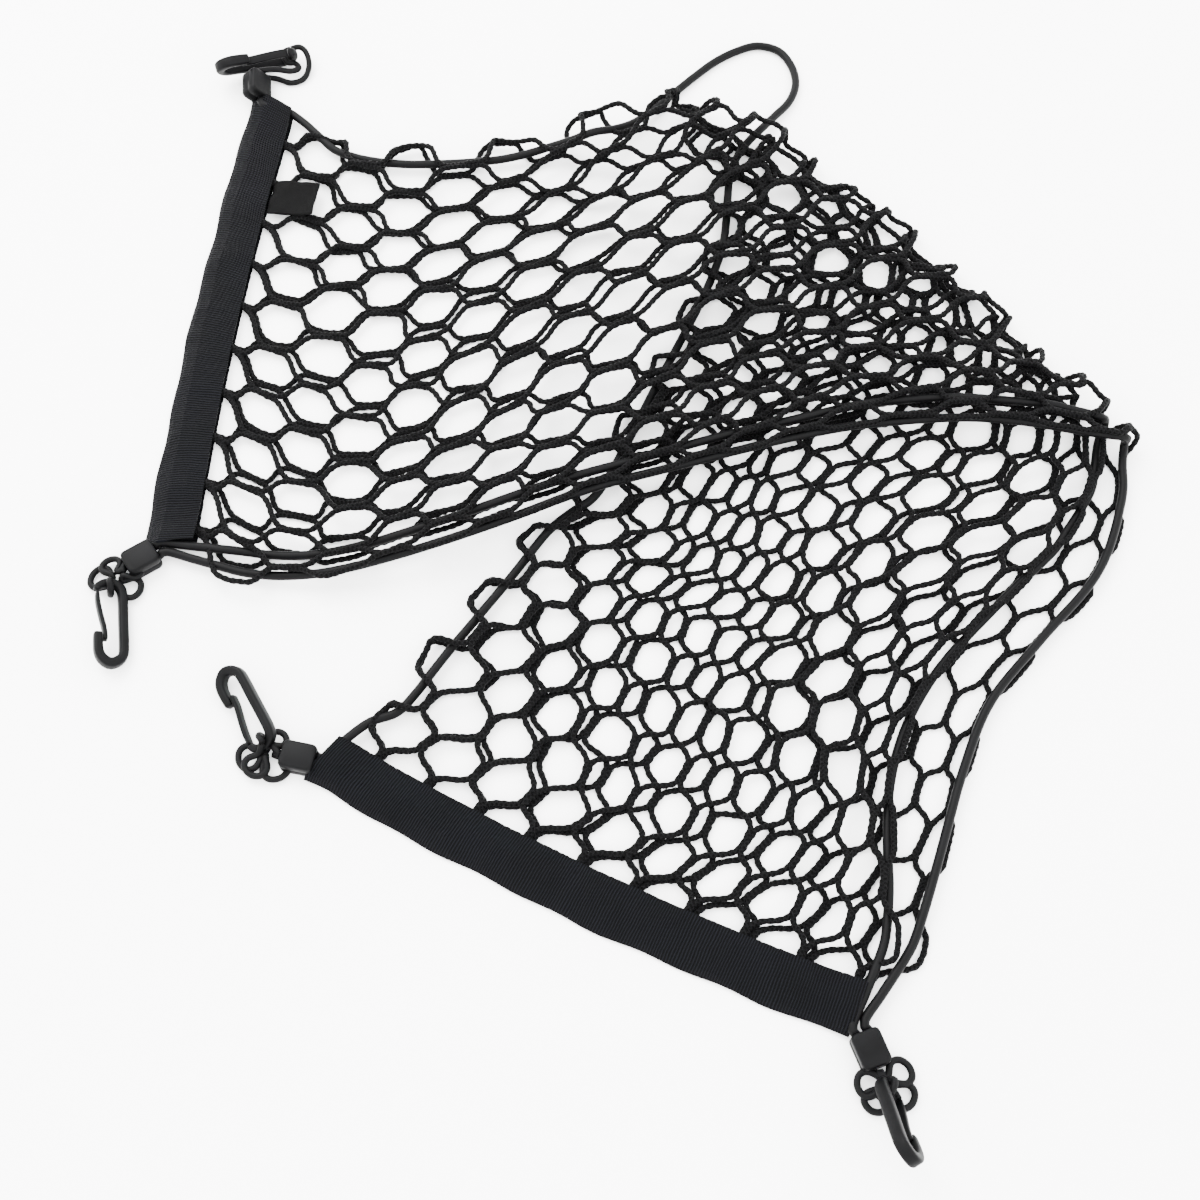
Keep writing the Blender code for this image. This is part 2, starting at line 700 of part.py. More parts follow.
def loop_points(corner, frame):
    """The knotted loop: round the hook's bar, with a lobe on each side before the block."""
    at_bar = [frame @ Vector(point) for point in LOOP_AT_BAR]
    if corner["lobe"] is None:
        return [*at_bar, *[Vector(point) for point in LONG_LOOP]]
    aim = heading(corner["aim"])
    left = Vector((-aim.y, aim.x))
    front = Vector(corner["block"]) + aim * (BLOCK[0] / 2 + CLEAR + LOOP_CORD / 2)

    def by_block(forward, side, z):
        spot = front + aim * forward + left * side
        return Vector((spot.x, spot.y, z))

    seat = by_block(0, 0, corner["high"])
    root = frame @ Vector((0.4, 0, 0))
    up = (frame.to_3x3() @ Vector((0, 0, 1))).normalized()
    side = up.cross(seat - root).normalized()
    near = root.lerp(seat, 0.45)
    far = root.lerp(seat, 0.65)
    over = near + up * 4.9
    under = near - up * 4.9
    lobe_over = far + side * corner["lobe"] + up * 3.2
    lobe_under = far - side * corner["lobe"] - up * 3.2
    turn = 1 if side.xy.dot(left) > 0 else -1
    return [
        over + side * 1.5, *at_bar, under - side * 1.5,
        lobe_under, by_block(1.3, -4.5 * turn, 5.2), seat, by_block(1.3, 4.5 * turn, 5.8), lobe_over,
    ]


def build_corner(number, corner, plastic, cord):
    build_block(number, corner, plastic)
    frame = hook_frame(corner)
    body_points, body_faces = path_solid(HOOK_PATH)
    gate_path = [(x, y, thick, GATE_WIDE) for x, y, thick in GATE_PATH]
    gate_points, gate_faces = path_solid(gate_path)
    body_low = min((frame @ Vector(point)).z for point in body_points)
    loop_low = min((frame @ Vector(point)).z - LOOP_CORD / 2 for point in LOOP_AT_BAR)
    frame = Matrix.Translation((0, 0, FLOOR_LIFT - min(body_low, loop_low))) @ frame
    add_solid(f"hook_body_{number}", [frame @ Vector(p) for p in body_points],
              body_faces, plastic)
    add_solid(f"hook_gate_{number}", [frame @ Vector(p) for p in gate_points],
              gate_faces, plastic)
    course = Course(loop_points(corner, frame), closed=True)
    ring = [course.at(step / LOOP_STEPS) for step in range(LOOP_STEPS)]
    points = [(*spot.xy, max(spot.z, LOOP_CORD / 2 + FLOOR_LIFT)) for spot in ring]
    add_tube(f"hook_loop_{number}", points, LOOP_CORD, cord, closed=True)


# ---------------------------------------------------------------- label

LABEL_SIZE = (28.0, 24.0, 1.0)
LABEL_CENTER = (-199.0, 206.6, 7.2)
LABEL_TURN = -8.0
LABEL_TILT = -8.5


def build_label(finish):
    mesh = bpy.data.meshes.new("label")
    shaped = bmesh.new()
    bmesh.ops.create_cube(shaped, size=1)
    bmesh.ops.scale(shaped, verts=shaped.verts, vec=Vector(LABEL_SIZE) * MM)
    shaped.to_mesh(mesh)
    shaped.free()
    obj = add_object("label", mesh, finish)
    obj.location = placed(LABEL_CENTER)
    obj.rotation_euler = (0, math.radians(LABEL_TILT), math.radians(LABEL_TURN))


def main():
    clear_scene()
    braid = material("braided_cord", (0.012, 0.012, 0.013), 0.75)
    webbing = material("webbing", (0.018, 0.018, 0.02), 0.8)
    rubber = material("elastic_cord", (0.015, 0.015, 0.016), 0.45)
    plastic = material("moulded_plastic", (0.03, 0.03, 0.032), 0.5)
    woven = material("label_tape", (0.01, 0.01, 0.011), 0.6)
    build_netting(braid)
    build_band("band_left", 0, INTO_LEFT, -0.005, 0.99, webbing)
    build_band("band_front", NET_LENGTH, INTO_FRONT, 0.0, 0.965, webbing)
    build_cords(rubber)
    for number, corner in enumerate(CORNERS, start=1):
        build_corner(number, corner, plastic, rubber)
    build_label(woven)


main()
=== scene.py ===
"""The looks of a car boot cargo net that lies folded over itself on a pale floor.

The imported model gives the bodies, the nodes and the whole object's box. The netting, the
cords, the webbing and the hooks are modelled here again in finer form, on the same curves
and in the same places as the solids. Tables are in millimetres, placed() gives metres.
"""

import bisect
import math

import bmesh
import bpy
import numpy as np
from mathutils import Matrix, Vector, noise


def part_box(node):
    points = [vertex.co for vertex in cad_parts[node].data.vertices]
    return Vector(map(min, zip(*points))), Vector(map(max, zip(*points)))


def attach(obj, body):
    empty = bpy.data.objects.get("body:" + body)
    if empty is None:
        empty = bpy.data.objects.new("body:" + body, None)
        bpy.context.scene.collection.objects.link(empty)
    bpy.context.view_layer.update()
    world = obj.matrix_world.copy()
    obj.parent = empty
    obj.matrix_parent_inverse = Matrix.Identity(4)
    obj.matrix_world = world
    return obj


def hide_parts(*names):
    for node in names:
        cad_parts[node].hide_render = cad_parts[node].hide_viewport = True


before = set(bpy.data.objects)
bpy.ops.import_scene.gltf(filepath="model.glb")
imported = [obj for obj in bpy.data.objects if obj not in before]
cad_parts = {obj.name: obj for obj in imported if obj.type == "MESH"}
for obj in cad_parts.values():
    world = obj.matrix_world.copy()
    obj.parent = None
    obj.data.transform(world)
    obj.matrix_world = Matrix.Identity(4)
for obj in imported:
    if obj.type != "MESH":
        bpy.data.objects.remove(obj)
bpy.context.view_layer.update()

MM = 0.001
MIDDLE = (-4.57, -5.03)

# The laid-open net, as in the solids, and its real mesh.
NET_LENGTH = 860.0
PANEL_WIDTH = 300.0
EDGE_REACH = 9.0
HEADER_DEPTH = 10.0
CELLS_ACROSS = 10
CELL_ROWS = 32
STRAND = 3.2
STRAND_SIDES = 8
STRAND_STEP = 1.0
STRAND_LOWEST = STRAND / 2 + 0.1
STRIPS = 4
STRIP = CELLS_ACROSS // 2
# The strand's silhouette: height of the plaits as a share of the radius, and their pitch.
PLAIT_HEIGHT = 0.12
PLAIT_PITCH = 4.2

# Heights of the layers and the room for the edge cords. Pairs say where a change starts and
# ends, along or across the net, or as a share of an arm's length for AT_FOLD.
SHEET = 2.4
SHEET_IN_BAND = 1.6
ELASTIC = 4.8
CLEAR = 0.3
FLOOR_LIFT = 0.05
PANEL_GAP = 3.2
CORD_GAP = ELASTIC + SHEET + 4 * CLEAR + 0.2
BASE = SHEET / 2 + FLOOR_LIFT
CLOSED_ROOM = 14.0
CLOSED_ROOM_AT_FOLD = 54.0
OPEN_ROOM = 32.0
CLOSING = 35.0
NEAR_FOLD = ((215.0, 250.0), (345.0, 385.0))
CLIMB = (-112.0, -22.0)
PAST_CORD = (20.0, 110.0)
PAST_CORNER = (40.0, 130.0)
AT_FOLD = (0.75, 1.0)

# The webbing.
BAND_WIDTH = 27.0
PLY = 1.1
BAND_SETTLE = (2.0, 24.0)
BAND_LOW = PLY + CLEAR + SHEET_IN_BAND / 2
BAND_GAP = SHEET_IN_BAND + 0.4
BAND_INSIDE = 2 * CLEAR + 2 * SHEET_IN_BAND + 0.4

# The corners.
BLOCK = (16.0, 12.0, 11.0)
BLOCK_SHOWN = (17.6, 14.6, 11.0)
LOOP_CORD = 3.0
LOOP_SHOWN = 3.5
CORNERS = (
    # block's middle, heading, height and roll, hook's root, heading, pitch and roll
    dict(block=(-227, 289), aim=95, high=7.5, tilt=50, root=(-206.4, 313.9), heading=201.6,
         pitch=10.3, roll=66),
    dict(block=(-262, -28), aim=213, high=5.5, tilt=0, root=(-277, -42), heading=278, pitch=0,
         roll=156),
    dict(block=(-171, -139), aim=168, high=5.5, tilt=0, root=(-188, -133), heading=120, pitch=0,
         roll=-24),
    dict(block=(106, -283), aim=291, high=5.5, tilt=0, root=(112.5, -298.8), heading=277, pitch=38,
         roll=-55),
)

# The edges of both arms in plan.
CLOSED_FIRST = ((-206, 262), (-181, 244), (-141, 233), (-87, 235), (-52, 242),
                (-18, 251), (4, 262), (24, 272))
CLOSED_SECOND = ((24, 272), (43, 248), (52, 224), (54, 200), (50, 171), (38, 137), (13, 83),
                 (-20, 14), (-44, -7), (-70, -43), (-101, -85), (-117, -108), (-143, -132))
FRONT_FIRST = ((-235, -16), (-213, -34), (-173, -38), (-136, -32), (-98, -21), (-64, -8),
               (-41, 2), (-17, 11), (11, 19), (49, 31), (88, 43), (125, 51), (167, 53),
               (197, 51), (228, 46), (262, 38))
FRONT_SECOND = ((262, 38), (261, 12), (243, -34), (208, -74), (179, -108), (162, -144),
                (149, -181), (137, -215), (127, -238), (112, -254))
BACK_FIRST = ((-235, -14), (-209, -23), (-184, -26), (-163, -25), (-137, -20), (-89, -5),
              (-42, 13), (0, 26), (49, 42), (89, 54), (126, 64), (167, 66), (198, 63),
              (229, 59), (252, 50))
BACK_SECOND = ((252, 50), (245, 15), (237, 2), (220, -23), (203, -39), (181, -61), (155, -89),
               (136, -119), (125, -150), (121, -181), (120, -209), (115, -235), (108, -252))
FOLD_BULGE = 29.0
FOLD_BULGE_SKEW = 0.8
FOLD_OUTWARD = Vector((0.706, 0.708))
FOLD_AT_CLOSED = 245.0
FOLD_AT_FRONT = 502.0
FOLD_AT_BACK = 492.0
INTO_LEFT = Vector((0.995, -0.101))
INTO_FRONT = Vector((0.464, 0.886))
BOW_LEFT = 4.0
BOW_FRONT = 6.0


def clamp(value):
    return min(1.0, max(0.0, value))


def smooth(start, end, value):
    share = clamp((value - start) / (end - start))
    return share * share * (3 - 2 * share)


def lerp(first, second, share):
    return first + (second - first) * share


def heading(degrees):
    return Vector((math.cos(math.radians(degrees)), math.sin(math.radians(degrees))))


def placed(point):
    """A place in the tables' millimetres as metres about the object's middle."""
    return Vector((point[0] - MIDDLE[0], point[1] - MIDDLE[1], point[2])) * MM


class Course:
    """A smooth curve through points, read by its share of the length."""

    STEPS = 12

    def __init__(self, points, closed=False):
        knots = [Vector(point) for point in points]
        if closed:
            knots = [knots[-1], *knots, *knots[:2]]
        else:
            knots = [2 * knots[0] - knots[1], *knots, 2 * knots[-1] - knots[-2]]
        self.points = [knots[1]]
        for a, b, c, d in zip(knots, knots[1:], knots[2:], knots[3:]):
            for step in range(1, self.STEPS + 1):
                t = step / self.STEPS
                self.points.append(0.5 * (2 * b + (c - a) * t + (2 * a - 5 * b + 4 * c - d) * t * t
                                          + (3 * b - a - 3 * c + d) * t ** 3))
        self.lengths = [0.0]
        for a, b in zip(self.points, self.points[1:]):
            self.lengths.append(self.lengths[-1] + (b - a).length)
        self.length = self.lengths[-1]

    def at(self, share):
        target = clamp(share) * self.length
        index = min(max(bisect.bisect_left(self.lengths, target), 1), len(self.points) - 1)
        start, end = self.lengths[index - 1], self.lengths[index]
        return self.points[index - 1].lerp(self.points[index], (target - start) / (end - start))

    def heading(self, share):
        return (self.at(share + 0.01) - self.at(share - 0.01)).normalized()


CLOSED = (Course(CLOSED_FIRST), Course(CLOSED_SECOND))
FRONT = (Course(FRONT_FIRST), Course(FRONT_SECOND))
BACK = (Course(BACK_FIRST), Course(BACK_SECOND))


# ---------------------------------------------------------------- the netting's surface

def band_distance(along):
    return min(along, NET_LENGTH - along)


def panel_gap(along, across):
    near_fold = smooth(*NEAR_FOLD[0], along) * (1 - smooth(*NEAR_FOLD[1], along))
    full = lerp(CLOSED_ROOM, CLOSED_ROOM_AT_FOLD, near_fold)
    at_closed = 1 - smooth(full, full + CLOSING, across)
    at_open = smooth(PANEL_WIDTH - OPEN_ROOM - CLOSING, PANEL_WIDTH - OPEN_ROOM, across)
    free = lerp(PANEL_GAP, CORD_GAP, max(at_closed, at_open))
    return lerp(BAND_GAP, free, smooth(*BAND_SETTLE, band_distance(along)))


def base_height(along):
    return lerp(BAND_LOW, BASE, smooth(*BAND_SETTLE, band_distance(along)))


def distance_to_second(plan):
    """How far a place lies inside the second arm's closed edge, negative outside it."""
    best = None
    points = CLOSED[1].points
    for a, b in zip(points[::4], points[4::4]):
        edge = b - a
        share = clamp((plan - a).dot(edge) / edge.length_squared)
        away = plan - (a + edge * share)
        if best is None or away.length < abs(best):
            side = edge.x * away.y - edge.y * away.x
            best = away.length if side > 0 else -away.length
    return best


def lift(plan):
    """How far the first arm is raised where it lies over the second."""
    inside = distance_to_second(plan)
    corner = (plan - Vector(BACK_SECOND[0])).length
    over_cord = 1 - min(smooth(*PAST_CORD, inside), smooth(*PAST_CORNER, corner))
    return smooth(*CLIMB, inside) * (PANEL_GAP + lerp(PANEL_GAP, CORD_GAP, over_cord))


def fold_bulge(share):
    return FOLD_OUTWARD * FOLD_BULGE * math.sin(math.pi * clamp(share) ** FOLD_BULGE_SKEW)


def surface(along, across):
    """Where a place on the laid-open net lies. across is 0 on the closed edge, positive on
    the front panel and negative on the back panel."""
    side = 1 if across >= 0 else -1
    distance = abs(across)
    gap = panel_gap(along, distance)
    wrap = gap / 2
    turn = wrap * math.pi / 2
    angle = min(distance / wrap, math.pi / 2)
    share = max(0.0, distance - turn) / (PANEL_WIDTH - turn)
    outside = wrap * math.cos(angle)
    tilt = side * wrap * math.sin(angle)
    open_edge = FRONT if side > 0 else BACK
    fold_open = FOLD_AT_FRONT if side > 0 else FOLD_AT_BACK
    fold_at = lerp(FOLD_AT_CLOSED, fold_open, share)

    fold_gap = panel_gap(fold_at, distance)
    fold_lift = fold_gap + PANEL_GAP
    radius = fold_lift / 2 + side * fold_gap / 2 * math.sin(angle)
    half_turn = radius * math.pi / 2
    first = along <= fold_at
    if first:
        part = clamp(along / (fold_at - half_turn))
        beyond = min(0.0, along) * INTO_LEFT
        bow = -BOW_LEFT * INTO_LEFT * (1 - part) ** 2
        bulge = fold_bulge(share) * part ** 2
    else:
        part = clamp((along - fold_at - half_turn) / (NET_LENGTH - fold_at - half_turn))
        beyond = -max(0.0, along - NET_LENGTH) * INTO_FRONT
        bow = -BOW_FRONT * INTO_FRONT * part ** 2
        bulge = fold_bulge(share) * (1 - part) ** 2
    arm = 0 if first else 1
    closed_point = CLOSED[arm].at(part)
    open_point = open_edge[arm].at(part)
    middle = 4 * clamp(share) * (1 - clamp(share))
    plan = closed_point.lerp(open_point, share) + beyond + bow * middle + bulge
    edge = CLOSED[arm].heading(part)
    plan += (Vector((-edge.y, edge.x)) if first else Vector((edge.y, -edge.x))) * outside

    height = base_height(along) + gap / 2
    if first:
        raised = lerp(lift(plan), fold_lift, smooth(*AT_FOLD, part))
        height += raised + tilt
    else:
        height -= tilt
    offset = abs(along - fold_at)
    if offset < half_turn:
        around = offset / half_turn * math.pi / 2
        center = BASE + (fold_lift + fold_gap) / 2
        plan += FOLD_OUTWARD * radius * math.cos(around)
        height = center + (1 if first else -1) * radius * math.sin(around)
    return Vector((plan.x, plan.y, height))


# ---------------------------------------------------------------- mesh helpers

def tube_rings(points, closed):
    """The two vectors across a tube at each of its points, turning as little as they can."""
    spots = np.array(points, float)
    if closed:
        runs = np.roll(spots, -1, 0) - np.roll(spots, 1, 0)
    else:
        runs = np.gradient(spots, axis=0)
    runs /= np.linalg.norm(runs, axis=1)[:, None]
    up = np.array((0.0, 0.0, 1.0)) if abs(runs[0][2]) < 0.9 else np.array((1.0, 0.0, 0.0))
    sides = np.empty_like(spots)
    side = np.cross(runs[0], up)
    for index, run in enumerate(runs):
        side = side - run * side.dot(run)
        side = side / np.linalg.norm(side)
        sides[index] = side
    return spots, sides, np.cross(runs, sides)


def add_tubes(name, lines, radius, sides, finish, closed=False, plait=0.0):
    """Round cords as one mesh, from lists of points in millimetres. The UV map holds the
    length along the cord in centimetres and the share of the way round it. plait gives the
    cord the silhouette of a twist, as a share of its radius."""
    points, quads, caps, uvs, cap_uvs = [], [], [], [], []
    angles = np.arange(sides) / sides * 2 * math.pi
    start = 0
    for line in lines:
        spots, across, upward = tube_rings(line, closed)
        count = len(spots)
        ends = np.roll(spots, -1, 0) if closed else spots[1:]
        lengths = np.concatenate([[0], np.linalg.norm(ends - spots[:len(ends)], axis=1).cumsum()])
        turns = 2 * angles[None, :] - 2 * math.pi * lengths[:count, None] / PLAIT_PITCH
        size = radius * (1 + plait * np.cos(turns))
        ring = (np.cos(angles)[None, :, None] * across[:, None, :]
                + np.sin(angles)[None, :, None] * upward[:, None, :]) * size[:, :, None]
        points.append((spots[:, None, :] + ring).reshape(-1, 3))
        index = np.arange(len(ends))[:, None]
        here, there = start + index * sides, start + (index + 1) % count * sides
        k = np.arange(sides)[None, :]
        after = (k + 1) % sides
        quads.append(np.stack([here + k, here + after, there + after, there + k], 2).reshape(-1, 4))
        low, high = lengths[:len(ends), None] / 10, lengths[1:len(ends) + 1, None] / 10
        k = np.broadcast_to(k, (len(ends), sides))
        low, high = np.broadcast_to(low, k.shape), np.broadcast_to(high, k.shape)
        corners = ((low, k), (low, k + 1), (high, k + 1), (high, k))
        uvs.append(np.stack([np.stack([u, v / sides], 2) for u, v in corners], 2).reshape(-1, 2))
        if not closed:
            last = start + (count - 1) * sides
            caps.append([start + step for step in reversed(range(sides))])
            caps.append([last + step for step in range(sides)])
            cap_uvs.append(np.full((2 * sides, 2), 0.5))
        start += count * sides
    cloud = (np.concatenate(points) - np.array((MIDDLE[0], MIDDLE[1], 0.0))) * MM
    mesh = bpy.data.meshes.new(name)
    mesh.from_pydata(cloud.tolist(), [], np.concatenate(quads).tolist() + caps)
    layer = mesh.uv_layers.new(name="UVMap")
    layer.data.foreach_set("uv", np.concatenate(uvs + cap_uvs).astype(np.float32).ravel())
    mesh.shade_smooth()
    obj = bpy.data.objects.new(name, mesh)
    bpy.context.scene.collection.objects.link(obj)
    mesh.materials.append(finish)
    return obj


def add_mesh(name, points, faces, finish, uvs=None):
    mesh = bpy.data.meshes.new(name)
    mesh.from_pydata([placed(point) for point in points], [], faces)
    if uvs:
        layer = mesh.uv_layers.new(name="UVMap")
        layer.data.foreach_set("uv", [value for uv in uvs for value in uv])
    mesh.shade_smooth()
    obj = bpy.data.objects.new(name, mesh)
    bpy.context.scene.collection.objects.link(obj)
    mesh.materials.append(finish)
    return obj


def face_outwards(obj):
    shaped = bmesh.new()
    shaped.from_mesh(obj.data)
    bmesh.ops.recalc_face_normals(shaped, faces=shaped.faces)
    shaped.to_mesh(obj.data)
    shaped.free()


# ---------------------------------------------------------------- materials

class Shader:
    """A Principled material with short calls for the nodes that the finishes use."""

    def __init__(self, name, color, roughness, **sockets):
        self.material = bpy.data.materials.new(name)
        self.material.use_nodes = True
        self.tree = self.material.node_tree
        self.principled = self.tree.nodes["Principled BSDF"]
        self.set("Base Color", (*color, 1))
        self.set("Roughness", roughness)
        for socket, value in sockets.items():
            self.set(socket.replace("_", " "), value)

    def set(self, socket, value):
        self.principled.inputs[socket].default_value = value

    def node(self, kind, **settings):
        made = self.tree.nodes.new(kind)
        for key, value in settings.items():
            setattr(made, key, value)
        return made

    def link(self, source, target):
        self.tree.links.new(source, target)

    def math(self, operation, first, second=None):
        made = self.node("ShaderNodeMath", operation=operation)
        for socket, value in zip(made.inputs, (first, second)):
            if value is None:
                continue
            if isinstance(value, (int, float)):
                socket.default_value = value
            else:
                self.link(value, socket)
        return made.outputs[0]

    def uv(self):
        split = self.node("ShaderNodeSeparateXYZ")
        self.link(self.node("ShaderNodeUVMap", uv_map="UVMap").outputs[0], split.inputs[0])
        return split.outputs[0], split.outputs[1]

    def noise(self, scale, detail):
        made = self.node("ShaderNodeTexNoise")
        made.inputs["Scale"].default_value = scale
        made.inputs["Detail"].default_value = detail
        self.link(self.node("ShaderNodeTexCoord").outputs["Object"], made.inputs["Vector"])
        return made.outputs["Fac"]

    def ramp(self, value, low, high, start=0.0, end=1.0):
        made = self.node("ShaderNodeValToRGB")
        made.color_ramp.elements[0].position = start
        made.color_ramp.elements[0].color = (*low, 1)
        made.color_ramp.elements[1].position = end
        made.color_ramp.elements[1].color = (*high, 1)
        self.link(value, made.inputs[0])
        return made.outputs["Color"]

    def color(self, value):
        self.link(value, self.principled.inputs["Base Color"])

    def rough(self, value, low, high):
        made = self.node("ShaderNodeMapRange")
        made.inputs["To Min"].default_value = low
        made.inputs["To Max"].default_value = high
        self.link(value, made.inputs[0])
        self.link(made.outputs[0], self.principled.inputs["Roughness"])

    def bump(self, height, distance, strength=1.0, after=None):
        made = self.node("ShaderNodeBump")
        made.inputs["Distance"].default_value = distance
        made.inputs["Strength"].default_value = strength
        self.link(height, made.inputs["Height"])
        if after:
            self.link(after, made.inputs["Normal"])
        self.link(made.outputs[0], self.principled.inputs["Normal"])
        return made.outputs[0]


# Pitches of the weaves, in centimetres as the UV maps are, and the plaits' starts.
PLAITS_PER_CM = 4.2
PLAIT_STARTS = 3
COVER_RIBS_PER_CM = 12
RIB_PITCH = 0.15
WARP_PITCH = 0.07
TAPE_PITCHES = (0.04, 0.05)


def braid_material():
    """Braided cord: two sets of helical plaits that cross, with a little fibre fuzz."""
    made = Shader("braided_cord", (0.01, 0.01, 0.011), 0.7, Sheen_Weight=0.004,
                  Sheen_Roughness=0.4, Specular_IOR_Level=0.035)
    along, around = made.uv()
    run = made.math("MULTIPLY", along, 2 * math.pi * PLAITS_PER_CM)
    turn = made.math("MULTIPLY", around, 2 * math.pi * PLAIT_STARTS)
    rising = made.math("SINE", made.math("ADD", run, turn))
    falling = made.math("SINE", made.math("SUBTRACT", run, turn))
    plait = made.math("MAXIMUM", rising, falling)
    fuzz = made.noise(2600, 2)
    # The colour is painted shade and painted highlight: darker in the grooves between the plaits,
    # lighter on their crowns.
    made.color(made.ramp(plait, (0.0001, 0.0001, 0.00013), (0.0018, 0.0018, 0.002), 0.3, 0.98))
    made.rough(fuzz, 0.62, 0.85)
    first = made.bump(plait, 0.0004, 0.9)
    made.bump(fuzz, 0.00012, 0.5, first)
    return made.material


def elastic_material():
    """Smooth round elastic cord with a soft sheen."""
    made = Shader("elastic_cord", (0.01, 0.01, 0.011), 0.5, Specular_IOR_Level=0.05)
    along, _around = made.uv()
    ribs = made.math("SINE", made.math("MULTIPLY", along, 2 * math.pi * COVER_RIBS_PER_CM))
    spots = made.noise(60, 4)
    made.color(made.ramp(spots, (0.0002, 0.0002, 0.00028), (0.001, 0.001, 0.0012), 0.3, 0.75))
    made.rough(spots, 0.45, 0.6)
    made.bump(ribs, 0.00005, 0.35)
    return made.material


def webbing_material():
    """Ribbed webbing: a rib every 1.5 mm across the strip, fine warp threads along it."""
    made = Shader("webbing", (0.01, 0.01, 0.012), 0.78, Sheen_Weight=0.003,
                  Sheen_Roughness=0.45, Specular_IOR_Level=0.035)
    along, across = made.uv()
    wander = made.math("MULTIPLY", made.noise(35, 3), 0.35)
    rib = made.math("SINE", made.math("MULTIPLY", made.math("ADD", along, wander),
                                      2 * math.pi / RIB_PITCH))
    warp = made.math("SINE", made.math("MULTIPLY", across, 2 * math.pi / WARP_PITCH))
    blotch = made.noise(45, 4)
    weave = made.math("ADD", rib, made.math("MULTIPLY", warp, 0.35))
    # Painted shade: the colour is darker in the grooves between the ribs, and lighter and darker in
    # random blotches.
    shade = made.math("ADD", made.math("MULTIPLY", rib, 0.55), blotch)
    made.color(made.ramp(shade, (0.0001, 0.00011, 0.00018), (0.0028, 0.003, 0.0042), 0.25, 1.0))
    made.rough(blotch, 0.7, 0.88)
    creased = made.bump(made.noise(80, 3), 0.003, 0.7)
    made.bump(weave, 0.0005, 1.0, creased)
    return made.material


def plastic_material():
    """Dark grey moulded plastic with a fine matt grain and a few scuffs."""
    made = Shader("moulded_plastic", (0.02, 0.02, 0.022), 0.5, Specular_IOR_Level=0.045)
    grain = made.noise(1800, 2)
    scuff = made.noise(120, 5)
    made.color(made.ramp(scuff, (0.0003, 0.00032, 0.0004), (0.0012, 0.00125, 0.0015), 0.35, 0.8))
    made.rough(scuff, 0.42, 0.6)
    made.bump(grain, 0.00008, 0.35)
    return made.material


def tape_material():
    """Plain black woven tape."""
    made = Shader("label_tape", (0.006, 0.006, 0.007), 0.6, Specular_IOR_Level=0.03)
    along, across = made.uv()
    warp = made.math("SINE", made.math("MULTIPLY", along, 2 * math.pi / TAPE_PITCHES[0]))
    weft = made.math("SINE", made.math("MULTIPLY", across, 2 * math.pi / TAPE_PITCHES[1]))
    weave = made.math("MULTIPLY", warp, weft)
    made.color(made.ramp(weave, (0.0001, 0.0001, 0.00012), (0.0005, 0.0005, 0.0006)))
    made.bump(weave, 0.0001, 0.6)
    return made.material


def floor_material():
    made = Shader("floor", (0.93, 0.93, 0.93), 0.9)
    grain = made.noise(400, 2)
    made.color(made.ramp(grain, (0.925, 0.925, 0.925), (0.94, 0.94, 0.94)))
    return made.material


# ---------------------------------------------------------------- netting

PITCH = (PANEL_WIDTH + EDGE_REACH) / CELLS_ACROSS / 2
EDGE = (NET_LENGTH + 2 * HEADER_DEPTH) / (1.5 * CELL_ROWS + 1)
SIDE_BY_SIDE = 1.35
TWIST_HEIGHT = 0.5
# Where a strand has its points, as shares of a joint's and of a link's length.
JOINT_STOPS = (0.06, 0.28, 0.5, 0.72, 0.94)
LINK_STOPS = (0.3, 0.7)
# The uneven spacing: reach and spacing of the slow and the quick part. The bands hold it.
DRIFT, DRIFT_SPACING = 6.0, 95.0
JITTER, JITTER_SPACING = 3.3, 21.0
HELD_BY_BAND = (0.0, 30.0)
HELD_AT_CLOSED = (0.0, 25.0)
CALMER_AT_OPEN = (270.0, 300.0)
CALMER_BY = 0.6
# How the meshes crowd along the open edges' cords.
GATHER_BY_BAND = (0.0, 100.0)
GATHER_FROM = 100.0
GATHER_TO = 303.5
GATHER_MOST = 0.22
GATHER_POWER = 4.5
# How the outer meshes stand past the closed edge's cord, up to so much on each arm.
BULGE_MOST = (19.0, 9.0)
BULGE_LEAST = 1.0
BULGE_ACROSS = (0.0, 16.0)
BULGE_BY_BAND = (16.0, 50.0)
BULGE_BY_FOLD = (0.0, 40.0)
BULGE_SPACING = 27.0


def gathered(distance):
    """The outer meshes of a panel are drawn together along the open edge's cord."""
    share = clamp((distance - GATHER_FROM) / (PANEL_WIDTH + EDGE_REACH - GATHER_FROM))
    if share == 0:
        return distance
    return lerp(GATHER_FROM, GATHER_TO, share + GATHER_MOST * (share - share ** GATHER_POWER))


def uneven(along, across, spacing, layer):
    """Smooth noise for the two directions, the same in every run."""
    return [noise.noise(Vector((along / spacing, across / spacing, level)))
            for level in (layer, layer + 31.3)]


def drifted(along, across):
    """The laid-open place with the mesh's uneven spacing. Both panels have their own."""
    free = smooth(*HELD_BY_BAND, band_distance(along))
    slow = uneven(along, across, DRIFT_SPACING, 3.7)
    quick = uneven(along, across, JITTER_SPACING, 9.1)
    away = (smooth(*HELD_AT_CLOSED, abs(across))
            * (1 - CALMER_BY * smooth(*CALMER_AT_OPEN, abs(across))))
    along += free * (DRIFT * slow[0] + JITTER * quick[0])
    across += free * away * (DRIFT * slow[1] + JITTER * quick[1])
    drawn = smooth(*GATHER_BY_BAND, band_distance(along))
    return along, math.copysign(lerp(abs(across), gathered(abs(across)), drawn), across)


